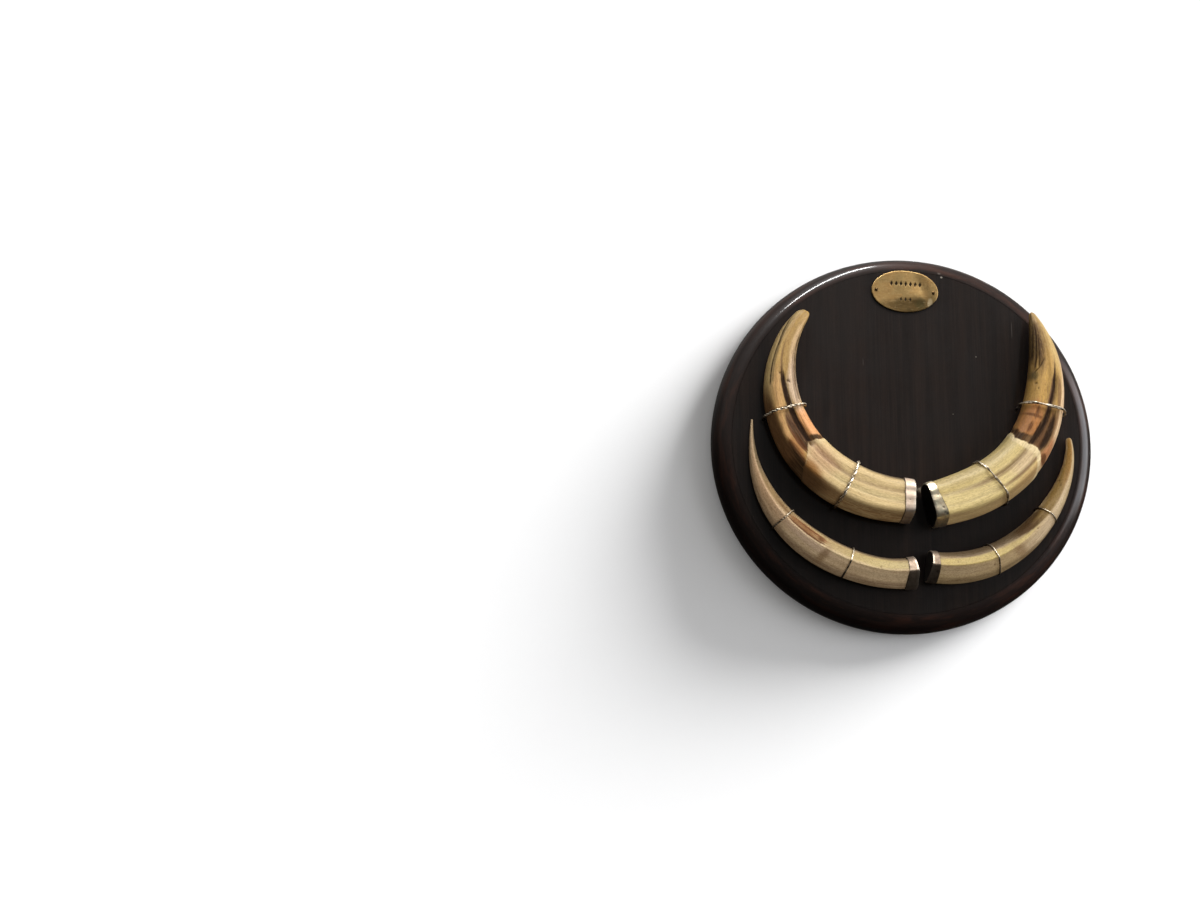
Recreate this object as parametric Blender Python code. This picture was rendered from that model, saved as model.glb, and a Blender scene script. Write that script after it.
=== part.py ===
"""A pair of warthog tusk sets, two upper and two lower tusks, wired to a round wall plaque.

Metres, +Z up, seen from the front along +Y. The plaque's flat back lies in the plane y = 0 with its
centre at the origin, and everything stands out from it towards -Y. Each tusk follows a curved centre
line in the plane of the plaque: `along` is the distance from its root, `across` runs from -1 on the
hollow side of the curve to +1 on the outer side, and `off` is the height above the plaque's face.
"""

import math
from typing import NamedTuple

import bmesh
import bpy
import numpy as np
from mathutils import Matrix

MM = 0.001
GAP = 0.3  # between neighbouring pieces, in mm

# Plaque, in mm
BOARD_DIAMETER = 320.0
BOARD_THICKNESS = 25.0
BOARD_SIDES = 64
RIM_WIDTH = 15.0
RIM_FALL = 21.0
RIM_ANGLES = (0, 18, 36, 54, 72, 90)
BACK_ROUNDING = 1.2

# Oval name plate, left blank
PLATE_WIDTH = 56.0
PLATE_HEIGHT = 36.0
PLATE_THICKNESS = 1.2
PLATE_BEVEL = 0.4
PLATE_CENTRE = (2.5, 127.0)
PLATE_TILT = -4.0  # degrees, clockwise
PLATE_SIDES = 36
PIN_SPACING = 48.0
PIN_HEAD_DIAMETER = 2.8
PIN_SHANK_DIAMETER = 1.4
PIN_LENGTH = 9.0
PIN_HEAD_PROFILE = ((1.0, 0.3), (0.6, 0.8), (0.0, 1.0))  # (share of the radius, height)
PIN_HEAD_SIDES = 10

# Holes
HOLE_CLEARANCE = 0.6
DEEP_HOLE_SIDES = 6
THROUGH_HOLE_SIDES = 8
OVERCUT = 1.0  # how far a cutter reaches past the surface it starts from

# Saw-tooth hanger in a shallow recess at the back
HANGER_HEIGHT = 100.0
HANGER_WIDTH = 46.0
HANGER_DEPTH = 9.0
HANGER_METAL = 0.8
HANGER_STAND_OFF = 1.2
TOOTH_PITCH = 3.0
TOOTH_COUNT = 9
TOOTH_HEIGHT = 1.8
NAIL_SPACING = 38.0
RECESS_WIDTH = 56.0
RECESS_HEIGHT = 16.0
RECESS_DEPTH = 3.0
RECESS_END_STEPS = 6
FLAT_END = 2.5  # between the last tooth and the strip's flat end

# Tusks
BODY_RINGS = 22
TIP_ANGLES = (30, 55, 76)
TIP_ROUNDING = 0.6  # length of the rounded end as a share of the tip's width
POINTS_PER_SPAN = 2
CENTRE_LINE_STEPS = 60
CAP_METAL = 0.5
CAP_SEAT = 1.2  # how far the root stands off the face to make room for its cap
WIRE_HOLE_DEPTH = 8.0

# Cross-sections as (across, off), once round from the hollow side's back edge, over the front.
# The upper tusk's root has two shallow grooves and a corner on its outer side. Its tip is a plain oval.
UPPER_ROOT_SECTION = (
    (-0.62, 0.04), (-0.93, 0.22), (-1.00, 0.50), (-0.90, 0.76), (-0.62, 0.93),
    (-0.36, 0.92), (-0.13, 0.965), (0.12, 0.955), (0.36, 0.975), (0.58, 0.94),
    (0.76, 0.76), (1.00, 0.32), (0.80, 0.07), (0.10, 0.00),
)
UPPER_TIP_SECTION = (
    (-0.62, 0.09), (-0.92, 0.28), (-1.00, 0.52), (-0.88, 0.76), (-0.52, 0.95),
    (-0.10, 0.95), (0.10, 1.00), (0.28, 0.99), (0.44, 0.96), (0.62, 0.88),
    (0.86, 0.68), (1.00, 0.42), (0.80, 0.14), (0.10, 0.00),
)
# The lower tusk is three-sided: a short face on the hollow side, a ridge, and a broad outer face.
LOWER_ROOT_SECTION = (
    (-0.72, 0.05), (-1.00, 0.32), (-0.76, 0.78), (-0.18, 0.97), (0.02, 0.97),
    (0.50, 0.70), (0.92, 0.38), (0.98, 0.20), (0.62, 0.02),
)
LOWER_TIP_SECTION = (
    (-0.66, 0.10), (-1.00, 0.42), (-0.66, 0.80), (-0.18, 0.98), (0.10, 0.99),
    (0.55, 0.82), (0.93, 0.52), (0.98, 0.30), (0.60, 0.05),
)
WIRE_ENDS = {"upper": (1.0, 11.5), "lower": (0.5, 7.5)}  # where along a section a binding turns down
WIRE_REACHES = (4, 2, 1)  # how many points a taut wire bridges at a time
SECTION_CHANGE = (0.35, 0.95)  # shares of the length where the root's section becomes the tip's


class Tusk(NamedTuple):
    """One tusk, in mm and degrees. Headings and widths are those of five even stations, root to tip."""

    kind: str
    root: tuple
    length: float
    headings: tuple
    widths: tuple
    thickness: float  # as a share of the width
    tip_lift: float
    tip_skew: float  # how far the point lies towards the hollow side
    collar: float
    bindings: tuple  # distances from the root
    wire_diameter: float


TUSKS = {
    "upper_left": Tusk(
        "upper", (-1.5, -53.5), 228, (176, 150.5, 117, 83.5, 45), (34.5, 37.5, 34.5, 25.5, 10.5),
        0.80, 4.0, 0.5, 8.0, (54, 135), 2.4,
    ),
    "upper_right": Tusk(
        "upper", (14.0, -57.0), 219.5, (13.5, 31, 63, 90.5, 101.5), (35.5, 40, 38, 30, 5),
        0.80, 4.0, 0.0, 8.0, (54, 133), 2.0,
    ),
    "lower_left": Tusk(
        "lower", (0.5, -111.5), 208, (187, 160, 137, 109, 85), (25.5, 25, 23, 12.6, 1.8),
        0.92, 2.0, 0.0, 7.0, (55, 118.5), 1.5,
    ),
    "lower_right": Tusk(
        "lower", (13.0, -106.5), 183.5, (-7, 17.5, 43, 64, 97), (25, 25.5, 21.5, 13.8, 4.5),
        0.92, 2.0, 0.0, 6.0, (54, 113.5), 1.5,
    ),
}
SECTIONS = {
    "upper": (UPPER_ROOT_SECTION, UPPER_TIP_SECTION),
    "lower": (LOWER_ROOT_SECTION, LOWER_TIP_SECTION),
}


def clear_scene():
    for obj in list(bpy.data.objects):
        bpy.data.objects.remove(obj)


def material(name, colour, roughness, metallic=0.0):
    made = bpy.data.materials.new(name)
    made.use_nodes = True
    shader = made.node_tree.nodes["Principled BSDF"]
    shader.inputs["Base Color"].default_value = (*colour, 1.0)
    shader.inputs["Roughness"].default_value = roughness
    shader.inputs["Metallic"].default_value = metallic
    return made


def finish(name, bm, surface):
    """Turns a bmesh in mm into a named object in metres, its faces pointing out."""
    bmesh.ops.recalc_face_normals(bm, faces=bm.faces)
    bmesh.ops.scale(bm, verts=bm.verts, vec=(MM, MM, MM))
    mesh = bpy.data.meshes.new(name)
    bm.to_mesh(mesh)
    bm.free()
    mesh.materials.append(surface)
    mesh.shade_smooth()
    mesh.set_sharp_from_angle(angle=math.radians(40))
    obj = bpy.data.objects.new(name, mesh)
    bpy.context.collection.objects.link(obj)
    return obj


def cut(obj, cutters, name):
    """Takes the joined cutters away from the object. They stay in the scene as a hidden wireframe."""
    tool = finish(name, cutters, obj.data.materials[0])
    tool.hide_render = True
    tool.display_type = "WIRE"
    boolean = obj.modifiers.new(name, "BOOLEAN")
    boolean.object = tool
    boolean.solver = "EXACT"


def turned(bm, profile, sides, centre=(0.0, 0.0)):
    """Turns a profile of (radius, distance out from the back) about an axis along Y."""
    verts = [bm.verts.new((centre[0] + radius, -out, centre[1])) for radius, out in profile]
    edges = [bm.edges.new(pair) for pair in zip(verts, verts[1:])]
    bmesh.ops.spin(
        bm, geom=verts + edges, cent=(centre[0], 0, centre[1]), axis=(0, 1, 0),
        steps=sides, angle=math.tau, use_merge=True,
    )
    bmesh.ops.remove_doubles(bm, verts=bm.verts, dist=1e-4)


def round_hole(bm, centre, diameter, bottom, top, sides=THROUGH_HOLE_SIDES):
    """A plain round cutter between two distances out from the back."""
    radius = diameter / 2
    turned(bm, ((0, bottom), (radius, bottom), (radius, top), (0, top)), sides, centre)


def loft(bm, rings, tip=None):
    """Skins a closed body over rings of points. Its ends are flat, or the last one runs to a tip."""
    loops = [[bm.verts.new(point) for point in ring] for ring in rings]
    for first, second in zip(loops, loops[1:]):
        for i in range(len(first)):
            j = (i + 1) % len(first)
            bm.faces.new((first[i], first[j], second[j], second[i]))
    bm.faces.new(reversed(loops[0]))
    if tip is None:
        bm.faces.new(loops[-1])
        return
    end = bm.verts.new(tip)
    for i in range(len(loops[-1])):
        bm.faces.new((loops[-1][i], loops[-1][(i + 1) % len(loops[-1])], end))


def ease(start, end, value):
    """0 before start, 1 after end, and a smooth S between them."""
    share = min(max((value - start) / (end - start), 0.0), 1.0)
    return share * share * (3 - 2 * share)


def closed_curve(points, steps):
    """A smooth closed curve through the points, with that many steps between two of them."""
    p = np.array(points)
    before, after, beyond = np.roll(p, 1, 0), np.roll(p, -1, 0), np.roll(p, -2, 0)
    rows = []
    for k in range(steps):
        s = k / steps
        rows.append(
            p
            + 0.5 * s * (after - before)
            + 0.5 * s**2 * (2 * before - 5 * p + 4 * after - beyond)
            + 0.5 * s**3 * (3 * p - before - 3 * after + beyond)
        )
    return np.stack(rows, axis=1).reshape(-1, 2)


def through_stations(values, share):
    """The smooth curve through five values at even stations, read at a share of the length."""
    stations = np.linspace(0, 1, len(values))
    return float(np.polyval(np.polyfit(stations, values, len(values) - 1), share))


def centre_line(tusk, along):
    """Point and heading (in radians) of the centre line. Behind the root it runs on straight."""
    share = max(along, 0) / tusk.length
    heading = math.radians(through_stations(tusk.headings, share))
    steps = (np.arange(CENTRE_LINE_STEPS) + 0.5) / CENTRE_LINE_STEPS
    angles = np.radians([through_stations(tusk.headings, share * step) for step in steps])
    walked = along * np.array((np.cos(angles).mean(), np.sin(angles).mean()))
    return np.array(tusk.root) + walked, heading


def normals_of(ring):
    edge = np.roll(ring, -1, 0) - np.roll(ring, 1, 0)
    return np.stack((-edge[:, 1], edge[:, 0]), 1) / np.linalg.norm(edge, axis=1)[:, None]


def drawn_tight(ring):
    """The ring with its hollows bridged, as a taut wire lies over grooves."""
    for reach in WIRE_REACHES:
        chord = (np.roll(ring, reach, 0) + np.roll(ring, -reach, 0)) / 2
        outward = normals_of(ring)
        ring = ring + outward * np.maximum(((chord - ring) * outward).sum(1), 0)[:, None]
    return ring


def section_ring(tusk, along, fullness=1.0, outset=0.0, taut=False):
    """The tusk's section at a distance from its root, as points in space, grown outwards by outset."""
    share = max(along, 0) / tusk.length
    width = through_stations(tusk.widths, share)
    root_section, tip_section = (closed_curve(s, POINTS_PER_SPAN) for s in SECTIONS[tusk.kind])
    change = ease(*SECTION_CHANGE, share)
    shape = root_section * (1 - change) + tip_section * change
    flat = (shape - (0, 0.5)) * (width / 2, width * tusk.thickness) * fullness
    if outset:
        flat += outset * normals_of(flat)
    if taut:
        flat = drawn_tight(flat)
    seat = CAP_SEAT + (GAP - CAP_SEAT) * ease(tusk.collar, 2 * tusk.collar, along)
    lift = seat + tusk.tip_lift * ease(0.55, 1.0, share)
    middle = BOARD_THICKNESS + lift + width * tusk.thickness / 2
    centre, heading = centre_line(tusk, along)
    bend = math.copysign(1, tusk.headings[-1] - tusk.headings[0])
    outer_side = bend * np.array((math.sin(heading), -math.cos(heading)))
    slip = -tusk.tip_skew * (1 - fullness) * width / 2
    plan = centre + (flat[:, :1] + slip) * outer_side
    return np.stack((plan[:, 0], -(middle + flat[:, 1]), plan[:, 1]), 1)


def tusk_body(name, tusk, ivory):
    rounded = TIP_ROUNDING * tusk.widths[-1]
    straight = tusk.length - rounded
    rings = [section_ring(tusk, along) for along in np.linspace(0, straight, BODY_RINGS)]
    for angle in np.radians(TIP_ANGLES):
        rings.append(section_ring(tusk, straight + rounded * math.sin(angle), math.cos(angle)))
    tip = section_ring(tusk, tusk.length, 0.0).mean(axis=0)
    bm = bmesh.new()
    loft(bm, rings, tip)
    return finish(f"{name}_tusk", bm, ivory)


def end_cap(name, tusk, silver):
    """A sheet-metal cup over the tusk's root, its end plate behind the cut."""
    inside, outside = GAP, GAP + CAP_METAL
    rings = [
        section_ring(tusk, -outside, outset=outside - CAP_METAL / 2),
        section_ring(tusk, -inside, outset=outside),
        section_ring(tusk, tusk.collar, outset=outside),
        section_ring(tusk, tusk.collar, outset=inside),
        section_ring(tusk, -inside, outset=inside),
    ]
    bm = bmesh.new()
    loft(bm, rings)
    return finish(f"{name}_cap", bm, silver)


def binding_route(tusk, along):
    """Where the wire runs: out of the board, over the tusk, and back into the board."""
    radius = tusk.wire_diameter / 2
    first, last = (round(end * POINTS_PER_SPAN) for end in WIRE_ENDS[tusk.kind])
    over = section_ring(tusk, along, outset=GAP + radius, taut=True)[first : last + 1]
    bottom = -(BOARD_THICKNESS - WIRE_HOLE_DEPTH + 2 * GAP)
    ends = [np.array((point[0], y, point[2])) for point, y in (
        (over[0], bottom), (over[0], -BOARD_THICKNESS), (over[-1], -BOARD_THICKNESS), (over[-1], bottom),
    )]
    return [*ends[:2], *over, *ends[2:]]


def binding(name, tusk, along, wire):
    curve = bpy.data.curves.new(name, "CURVE")
    curve.dimensions = "3D"
    curve.bevel_depth = tusk.wire_diameter / 2 * MM
    curve.bevel_resolution = 1
    curve.use_fill_caps = True
    route = binding_route(tusk, along)
    spline = curve.splines.new("POLY")
    spline.points.add(len(route) - 1)
    for point, place in zip(spline.points, route):
        point.co = (*(place * MM), 1.0)
    curve.materials.append(wire)
    obj = bpy.data.objects.new(name, curve)
    bpy.context.collection.objects.link(obj)
    return obj


def rim_profile():
    """(radius, distance out) from the centre of the back, round the edge, to the centre of the face."""
    radius = BOARD_DIAMETER / 2
    foot, inner = BOARD_THICKNESS - RIM_FALL, radius - RIM_WIDTH
    profile = [(0, 0), (radius - BACK_ROUNDING, 0), (radius, BACK_ROUNDING)]
    for angle in np.radians(RIM_ANGLES):
        profile.append((inner + RIM_WIDTH * math.cos(angle), foot + RIM_FALL * math.sin(angle)))
    return [*profile, (0, BOARD_THICKNESS)]


def on_plate(across):
    """Place on the plaque of a point on the name plate's long axis."""
    tilt = math.radians(PLATE_TILT)
    return (PLATE_CENTRE[0] + across * math.cos(tilt), PLATE_CENTRE[1] + across * math.sin(tilt))


def pin_places():
    return {"left": on_plate(-PIN_SPACING / 2), "right": on_plate(PIN_SPACING / 2)}


def nail_places():
    return {"left": (NAIL_SPACING / 2, HANGER_HEIGHT), "right": (-NAIL_SPACING / 2, HANGER_HEIGHT)}


def recess(bm):
    """A shallow routed slot with round ends, cut from the back."""
    half = RECESS_HEIGHT / 2
    straight = RECESS_WIDTH / 2 - half
    outline = []
    for side in (1, -1):
        for angle in np.linspace(-math.pi / 2, math.pi / 2, RECESS_END_STEPS + 1):
            x, z = straight + half * math.cos(angle), half * math.sin(angle)
            outline.append((side * x, HANGER_HEIGHT + side * z))
    loft(bm, [[(x, y, z) for x, z in outline] for y in (OVERCUT, -RECESS_DEPTH)])


def board(wood):
    bm = bmesh.new()
    turned(bm, rim_profile(), BOARD_SIDES)
    obj = finish("board", bm, wood)
    cutters = bmesh.new()
    for tusk in TUSKS.values():
        for along in tusk.bindings:
            route = binding_route(tusk, along)
            for x, _, z in (route[0], route[-1]):
                width = tusk.wire_diameter + HOLE_CLEARANCE
                floor = BOARD_THICKNESS - WIRE_HOLE_DEPTH
                round_hole(cutters, (x, z), width, floor, BOARD_THICKNESS + OVERCUT, DEEP_HOLE_SIDES)
    pin_hole = PIN_SHANK_DIAMETER + HOLE_CLEARANCE
    floor = BOARD_THICKNESS - PIN_LENGTH
    for place in pin_places().values():
        round_hole(cutters, place, pin_hole, floor, BOARD_THICKNESS + OVERCUT, DEEP_HOLE_SIDES)
    cut(obj, cutters, "front_hole_cutter")
    slot = bmesh.new()
    recess(slot)
    cut(obj, slot, "recess_cutter")
    nail_holes = bmesh.new()
    for place in nail_places().values():
        top = RECESS_DEPTH + PIN_LENGTH
        round_hole(nail_holes, place, pin_hole, RECESS_DEPTH - OVERCUT, top, DEEP_HOLE_SIDES)
    cut(obj, nail_holes, "nail_hole_cutter")
    return obj


def name_plate(brass):
    bm = bmesh.new()
    rings = []
    for inset, out in ((0, 0), (0, PLATE_THICKNESS - PLATE_BEVEL), (PLATE_BEVEL, PLATE_THICKNESS)):
        ring = []
        for angle in math.tau * np.arange(PLATE_SIDES) / PLATE_SIDES:
            x = (PLATE_WIDTH / 2 - inset) * math.cos(angle)
            z = (PLATE_HEIGHT / 2 - inset) * math.sin(angle)
            ring.append((x, -(BOARD_THICKNESS + GAP + out), z))
        rings.append(ring)
    loft(bm, rings)
    turn = Matrix.Rotation(math.radians(-PLATE_TILT), 3, "Y")
    bmesh.ops.rotate(bm, verts=bm.verts, cent=(0, 0, 0), matrix=turn)
    bmesh.ops.translate(bm, verts=bm.verts, vec=(PLATE_CENTRE[0], 0, PLATE_CENTRE[1]))
    obj = finish("name_plate", bm, brass)
    holes = bmesh.new()
    top = BOARD_THICKNESS + GAP + PLATE_THICKNESS + OVERCUT
    for place in pin_places().values():
        width = PIN_SHANK_DIAMETER + HOLE_CLEARANCE
        round_hole(holes, place, width, BOARD_THICKNESS - OVERCUT, top)
    cut(obj, holes, "plate_hole_cutter")
    return obj


def pin(name, place, seat, inward, metal):
    """A round-headed pin. Its head sits just off `seat` and its shank goes in along `inward` (1 or -1)."""
    shank, head = PIN_SHANK_DIAMETER / 2, PIN_HEAD_DIAMETER / 2
    under = seat - inward * GAP
    end = seat + inward * (PIN_LENGTH - 3 * GAP - PLATE_THICKNESS)
    profile = [(0, end), (shank, end), (shank, under), (head, under)]
    profile += [(head * share, under - inward * height) for share, height in PIN_HEAD_PROFILE]
    bm = bmesh.new()
    turned(bm, profile, PIN_HEAD_SIDES, place)
    return finish(name, bm, metal)


def strip_back():
    """How far the strip's flat ends reach back, measured from the back of the plaque."""
    return RECESS_DEPTH - GAP - HANGER_METAL


def hanger(steel):
    """A stamped strip: flat ends on the recess's floor, and a raised middle with a saw-tooth lower edge."""
    tooth_ends = TOOTH_PITCH * TOOTH_COUNT / 2
    columns = [(-HANGER_WIDTH / 2, 0, 0), (-tooth_ends - FLAT_END, 0, 0)]
    for step in range(2 * TOOTH_COUNT + 1):
        rise = TOOTH_HEIGHT if step % 2 else 0
        columns.append((-tooth_ends + step * TOOTH_PITCH / 2, HANGER_STAND_OFF, rise))
    columns += [(tooth_ends + FLAT_END, 0, 0), (HANGER_WIDTH / 2, 0, 0)]
    rings = []
    floor = RECESS_DEPTH - GAP
    for x, stand_off, rise in columns:
        low, high = HANGER_HEIGHT - HANGER_DEPTH / 2 + rise, HANGER_HEIGHT + HANGER_DEPTH / 2
        inner, outer = -(floor - stand_off), -(floor - stand_off - HANGER_METAL)
        rings.append([(x, inner, low), (x, outer, low), (x, outer, high), (x, inner, high)])
    bm = bmesh.new()
    loft(bm, rings)
    obj = finish("hanger_strip", bm, steel)
    holes = bmesh.new()
    for place in nail_places().values():
        width = PIN_SHANK_DIAMETER + HOLE_CLEARANCE
        round_hole(holes, place, width, strip_back(), RECESS_DEPTH + OVERCUT)
    cut(obj, holes, "strip_hole_cutter")
    return obj


def main():
    clear_scene()
    wood = material("dark_stained_hardwood", (0.018, 0.011, 0.009), 0.38)
    ivory = material("tusk_ivory", (0.56, 0.43, 0.24), 0.45)
    silver = material("silver_sheet", (0.62, 0.58, 0.52), 0.30, 1.0)
    wire = material("binding_wire", (0.50, 0.45, 0.36), 0.32, 1.0)
    brass = material("plate_brass", (0.55, 0.40, 0.17), 0.38, 1.0)
    steel = material("hanger_steel", (0.45, 0.44, 0.42), 0.42, 1.0)

    board(wood)
    name_plate(brass)
    plate_top = BOARD_THICKNESS + GAP + PLATE_THICKNESS
    for side, place in pin_places().items():
        pin(f"plate_pin_{side}", place, plate_top, -1, brass)
    for name, tusk in TUSKS.items():
        tusk_body(name, tusk, ivory)
        end_cap(name, tusk, silver)
        for where, along in zip(("root", "middle"), tusk.bindings):
            binding(f"{name}_{where}_wire", tusk, along, wire)
    hanger(steel)
    for side, place in nail_places().items():
        pin(f"hanger_nail_{side}", place, strip_back(), 1, steel)


main()
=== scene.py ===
# %% [markdown]
# # Warthog tusks on a turned wall plaque
# The real object is a round hardwood plaque, stained nearly black, with two upper and two lower
# warthog tusks bound to it by wire. Each root sits in a cup of thin silver sheet, and an oval brass
# plate is pinned above them. The measured solids are already there as a frame. This lesson gives
# every one of them its true surface: grooves and pits in the tusks, twisted wire, dented silver,
# grain under worn lacquer.
#
# Everything is in metres. The plaque's flat back lies in the plane y = 0, its face looks along -Y,
# and Z is up. Sizes on a tusk read more easily in millimetres, so those are written that way and
# turned to metres where a point is placed.

import math
from typing import NamedTuple

import bmesh
import bpy
import numpy as np
from mathutils import Matrix, Vector, noise


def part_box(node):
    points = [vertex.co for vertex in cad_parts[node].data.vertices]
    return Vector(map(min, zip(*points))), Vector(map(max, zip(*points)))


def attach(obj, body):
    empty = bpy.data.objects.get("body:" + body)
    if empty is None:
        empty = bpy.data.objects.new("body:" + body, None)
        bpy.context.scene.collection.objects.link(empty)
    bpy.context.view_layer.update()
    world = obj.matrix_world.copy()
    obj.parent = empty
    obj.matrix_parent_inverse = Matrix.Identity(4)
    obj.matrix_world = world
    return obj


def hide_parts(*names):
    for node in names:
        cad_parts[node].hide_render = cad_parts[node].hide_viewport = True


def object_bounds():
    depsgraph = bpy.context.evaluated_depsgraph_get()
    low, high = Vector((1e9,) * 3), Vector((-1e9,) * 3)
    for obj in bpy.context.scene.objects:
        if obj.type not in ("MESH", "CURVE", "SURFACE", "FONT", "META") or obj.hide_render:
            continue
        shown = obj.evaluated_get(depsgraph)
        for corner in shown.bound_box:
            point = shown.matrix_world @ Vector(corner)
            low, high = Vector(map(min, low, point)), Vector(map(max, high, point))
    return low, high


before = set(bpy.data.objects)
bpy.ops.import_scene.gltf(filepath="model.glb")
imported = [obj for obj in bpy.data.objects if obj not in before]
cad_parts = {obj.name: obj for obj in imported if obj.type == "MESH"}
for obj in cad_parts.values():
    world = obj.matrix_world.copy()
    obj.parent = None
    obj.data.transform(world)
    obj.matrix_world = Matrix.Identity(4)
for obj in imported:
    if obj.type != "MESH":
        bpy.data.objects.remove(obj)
cad_low, cad_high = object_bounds()
MM = 0.001
print("CAD box in mm:", [round(side / MM, 1) for side in cad_high - cad_low])

# %% [markdown]
# ## The camera
# The photograph was taken from a little below and to the left of the plaque, looking slightly up.
# A camera placed by its true distance and direction gives the same narrowing of the far side, which
# moving a front view sideways never would. The lens is shifted down rather than turned, because the
# horizon of the picture lies below its middle.

# %% Place the camera
CAMERA_DISTANCE = 1.134
CAMERA_SIDE = math.radians(14)  # left of the plaque's axis
CAMERA_BELOW = math.radians(11)
LOOK_RIGHT = math.radians(0.845)
LOOK_UP = math.radians(7.69)
LENS_MM = 39
IMAGE_WIDTH, HORIZON_DROP = 1200, 70  # in pixels of the photograph

towards_camera = Vector((-math.tan(CAMERA_SIDE), -1, -math.tan(CAMERA_BELOW))).normalized()
bpy.ops.object.camera_add(
    location=towards_camera * CAMERA_DISTANCE, rotation=(math.pi / 2 + LOOK_UP, 0, -LOOK_RIGHT)
)
camera = bpy.context.object
camera.data.lens = LENS_MM
camera.data.shift_y = HORIZON_DROP / IMAGE_WIDTH
bpy.context.scene.camera = camera
print("camera at", [round(v, 3) for v in camera.location])

# %% [markdown]
# ## Modelling helpers
# Most pieces here are long bodies whose section changes on the way. The hand method is to draw the
# first ring, extrude it, move and scale the new ring into place, and extrude again. `skin` does just
# that: each ring's points come from a formula, and the vertices carry their own number from ring to
# ring, because an extrusion copies the number with the vertex.


# %% Extrude a body ring by ring
def new_primitive(name, add, **settings):
    """Adds a primitive with everything else deselected, names it and opens it in edit mode."""
    bpy.ops.object.select_all(action="DESELECT")
    add(**settings)
    piece = bpy.context.object
    piece.name = piece.data.name = name
    bpy.ops.object.mode_set(mode="EDIT")
    bpy.ops.mesh.select_all(action="SELECT")
    return piece


def settle(piece):
    """Leaves edit mode and bakes the object's own place into its mesh."""
    bpy.ops.object.mode_set(mode="OBJECT")
    bpy.ops.object.transform_apply(location=True, rotation=True, scale=True)
    return piece


def skin(name, rings, start_filled=True, pointed=False):
    """Extrudes a ring through all the others (points in mm), to a flat or a pointed end."""
    piece = new_primitive(
        name, bpy.ops.mesh.primitive_circle_add, vertices=len(rings[0]), radius=MM,
        fill_type="NGON" if start_filled else "NOTHING",
    )
    mesh = bmesh.from_edit_mesh(piece.data)
    number = mesh.verts.layers.int.new("number")
    row = mesh.verts.layers.int.new("row")
    for place, vert in enumerate(mesh.verts):
        vert[number] = place
    for index, ring in enumerate(rings):
        if index:
            bpy.ops.mesh.extrude_region_move()
            mesh = bmesh.from_edit_mesh(piece.data)
            number, row = mesh.verts.layers.int["number"], mesh.verts.layers.int["row"]
        for vert in mesh.verts:
            if vert.select:
                vert.co = [value * MM for value in ring[vert[number]]]
                vert[row] = index
    if pointed:
        bpy.ops.mesh.merge(type="CENTER")
    bpy.ops.mesh.select_all(action="SELECT")
    bpy.ops.mesh.normals_make_consistent(inside=False)
    return settle(piece)


def select(*pieces):
    """Selects these alone and makes the first one active."""
    bpy.ops.object.select_all(action="DESELECT")
    for piece in pieces:
        piece.select_set(True)
    bpy.context.view_layer.objects.active = pieces[0]


def add_modifier(piece, kind, **settings):
    """Adds a modifier, sets it and applies it at once."""
    select(piece)
    bpy.ops.object.modifier_add(type=kind)
    modifier = piece.modifiers[-1]
    for key, value in settings.items():
        setattr(modifier, key, value)
    bpy.ops.object.modifier_apply(modifier=modifier.name)


def smooth(piece, angle):
    select(piece)
    bpy.ops.object.shade_smooth_by_angle(angle=math.radians(angle))


def join(name, pieces):
    select(*pieces)
    if len(pieces) > 1:
        bpy.ops.object.join()
    pieces[0].name = pieces[0].data.name = name
    return pieces[0]


def triangles(piece):
    return sum(len(face.vertices) - 2 for face in piece.data.polygons)


def dress(piece, finish, node):
    """Gives a piece its material and its place in the frame, where it stands for one plain node."""
    piece.data.materials.clear()
    piece.data.materials.append(finish)
    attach(piece, "root")
    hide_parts(node)
    print(f"{piece.name}: {triangles(piece)} triangles")


# %% [markdown]
# Turned work is simpler: a profile is spun round an axis, as on a lathe. The profile starts as a
# circle primitive with one vertex for each of its points. The edge that closes it along the axis is
# taken out, because spinning it would make a wall inside the piece.


# %% Turn a profile round an axis along Y
def turned(name, profile, steps, centre=(0.0, 0.0)):
    """Spins (radius, y) points, in mm, into a closed solid about an axis through centre (x, z)."""
    piece = new_primitive(name, bpy.ops.mesh.primitive_circle_add, vertices=len(profile), radius=MM)
    mesh = bmesh.from_edit_mesh(piece.data)
    mesh.verts.ensure_lookup_table()
    for vert, (radius, y) in zip(mesh.verts, profile):
        vert.co = ((centre[0] + radius) * MM, y * MM, centre[1] * MM)
    ends = (mesh.verts[0], mesh.verts[len(profile) - 1])
    mesh.edges.remove(mesh.edges.get(ends))
    bmesh.update_edit_mesh(piece.data)
    bpy.ops.mesh.spin(
        steps=steps, angle=math.tau, center=(centre[0] * MM, 0, centre[1] * MM), axis=(0, 1, 0)
    )
    bpy.ops.mesh.select_all(action="SELECT")
    bpy.ops.mesh.remove_doubles(threshold=1e-6)
    bpy.ops.mesh.normals_make_consistent(inside=False)
    return settle(piece)


def arc(centre, radius, start, end, steps):
    """Points of a round stretch of a profile, from one angle to another in degrees."""
    angles = np.radians(np.linspace(start, end, steps))
    return [(centre[0] + radius * math.cos(a), centre[1] + radius * math.sin(a)) for a in angles]


def remove_volume(piece, cutter):
    """Cuts one closed mesh out of another and deletes the cutter."""
    add_modifier(piece, "BOOLEAN", object=cutter, solver="EXACT")
    bpy.data.objects.remove(cutter)


# %% [markdown]
# ## The measures of the four tusks
# A tusk is described by its centre line, which lies in the plane of the plaque, and by its width and
# its section along that line. Headings and widths are given at five even stations from root to tip,
# and a smooth curve runs through them. `along` is the distance from the root in mm. `across` runs
# from -1 on the hollow side of the curve to 1 on the outer side. `off` is 0 at the back and 1 at the
# front. These three numbers name any point of a tusk, so grooves, stains and wires all use them.


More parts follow.
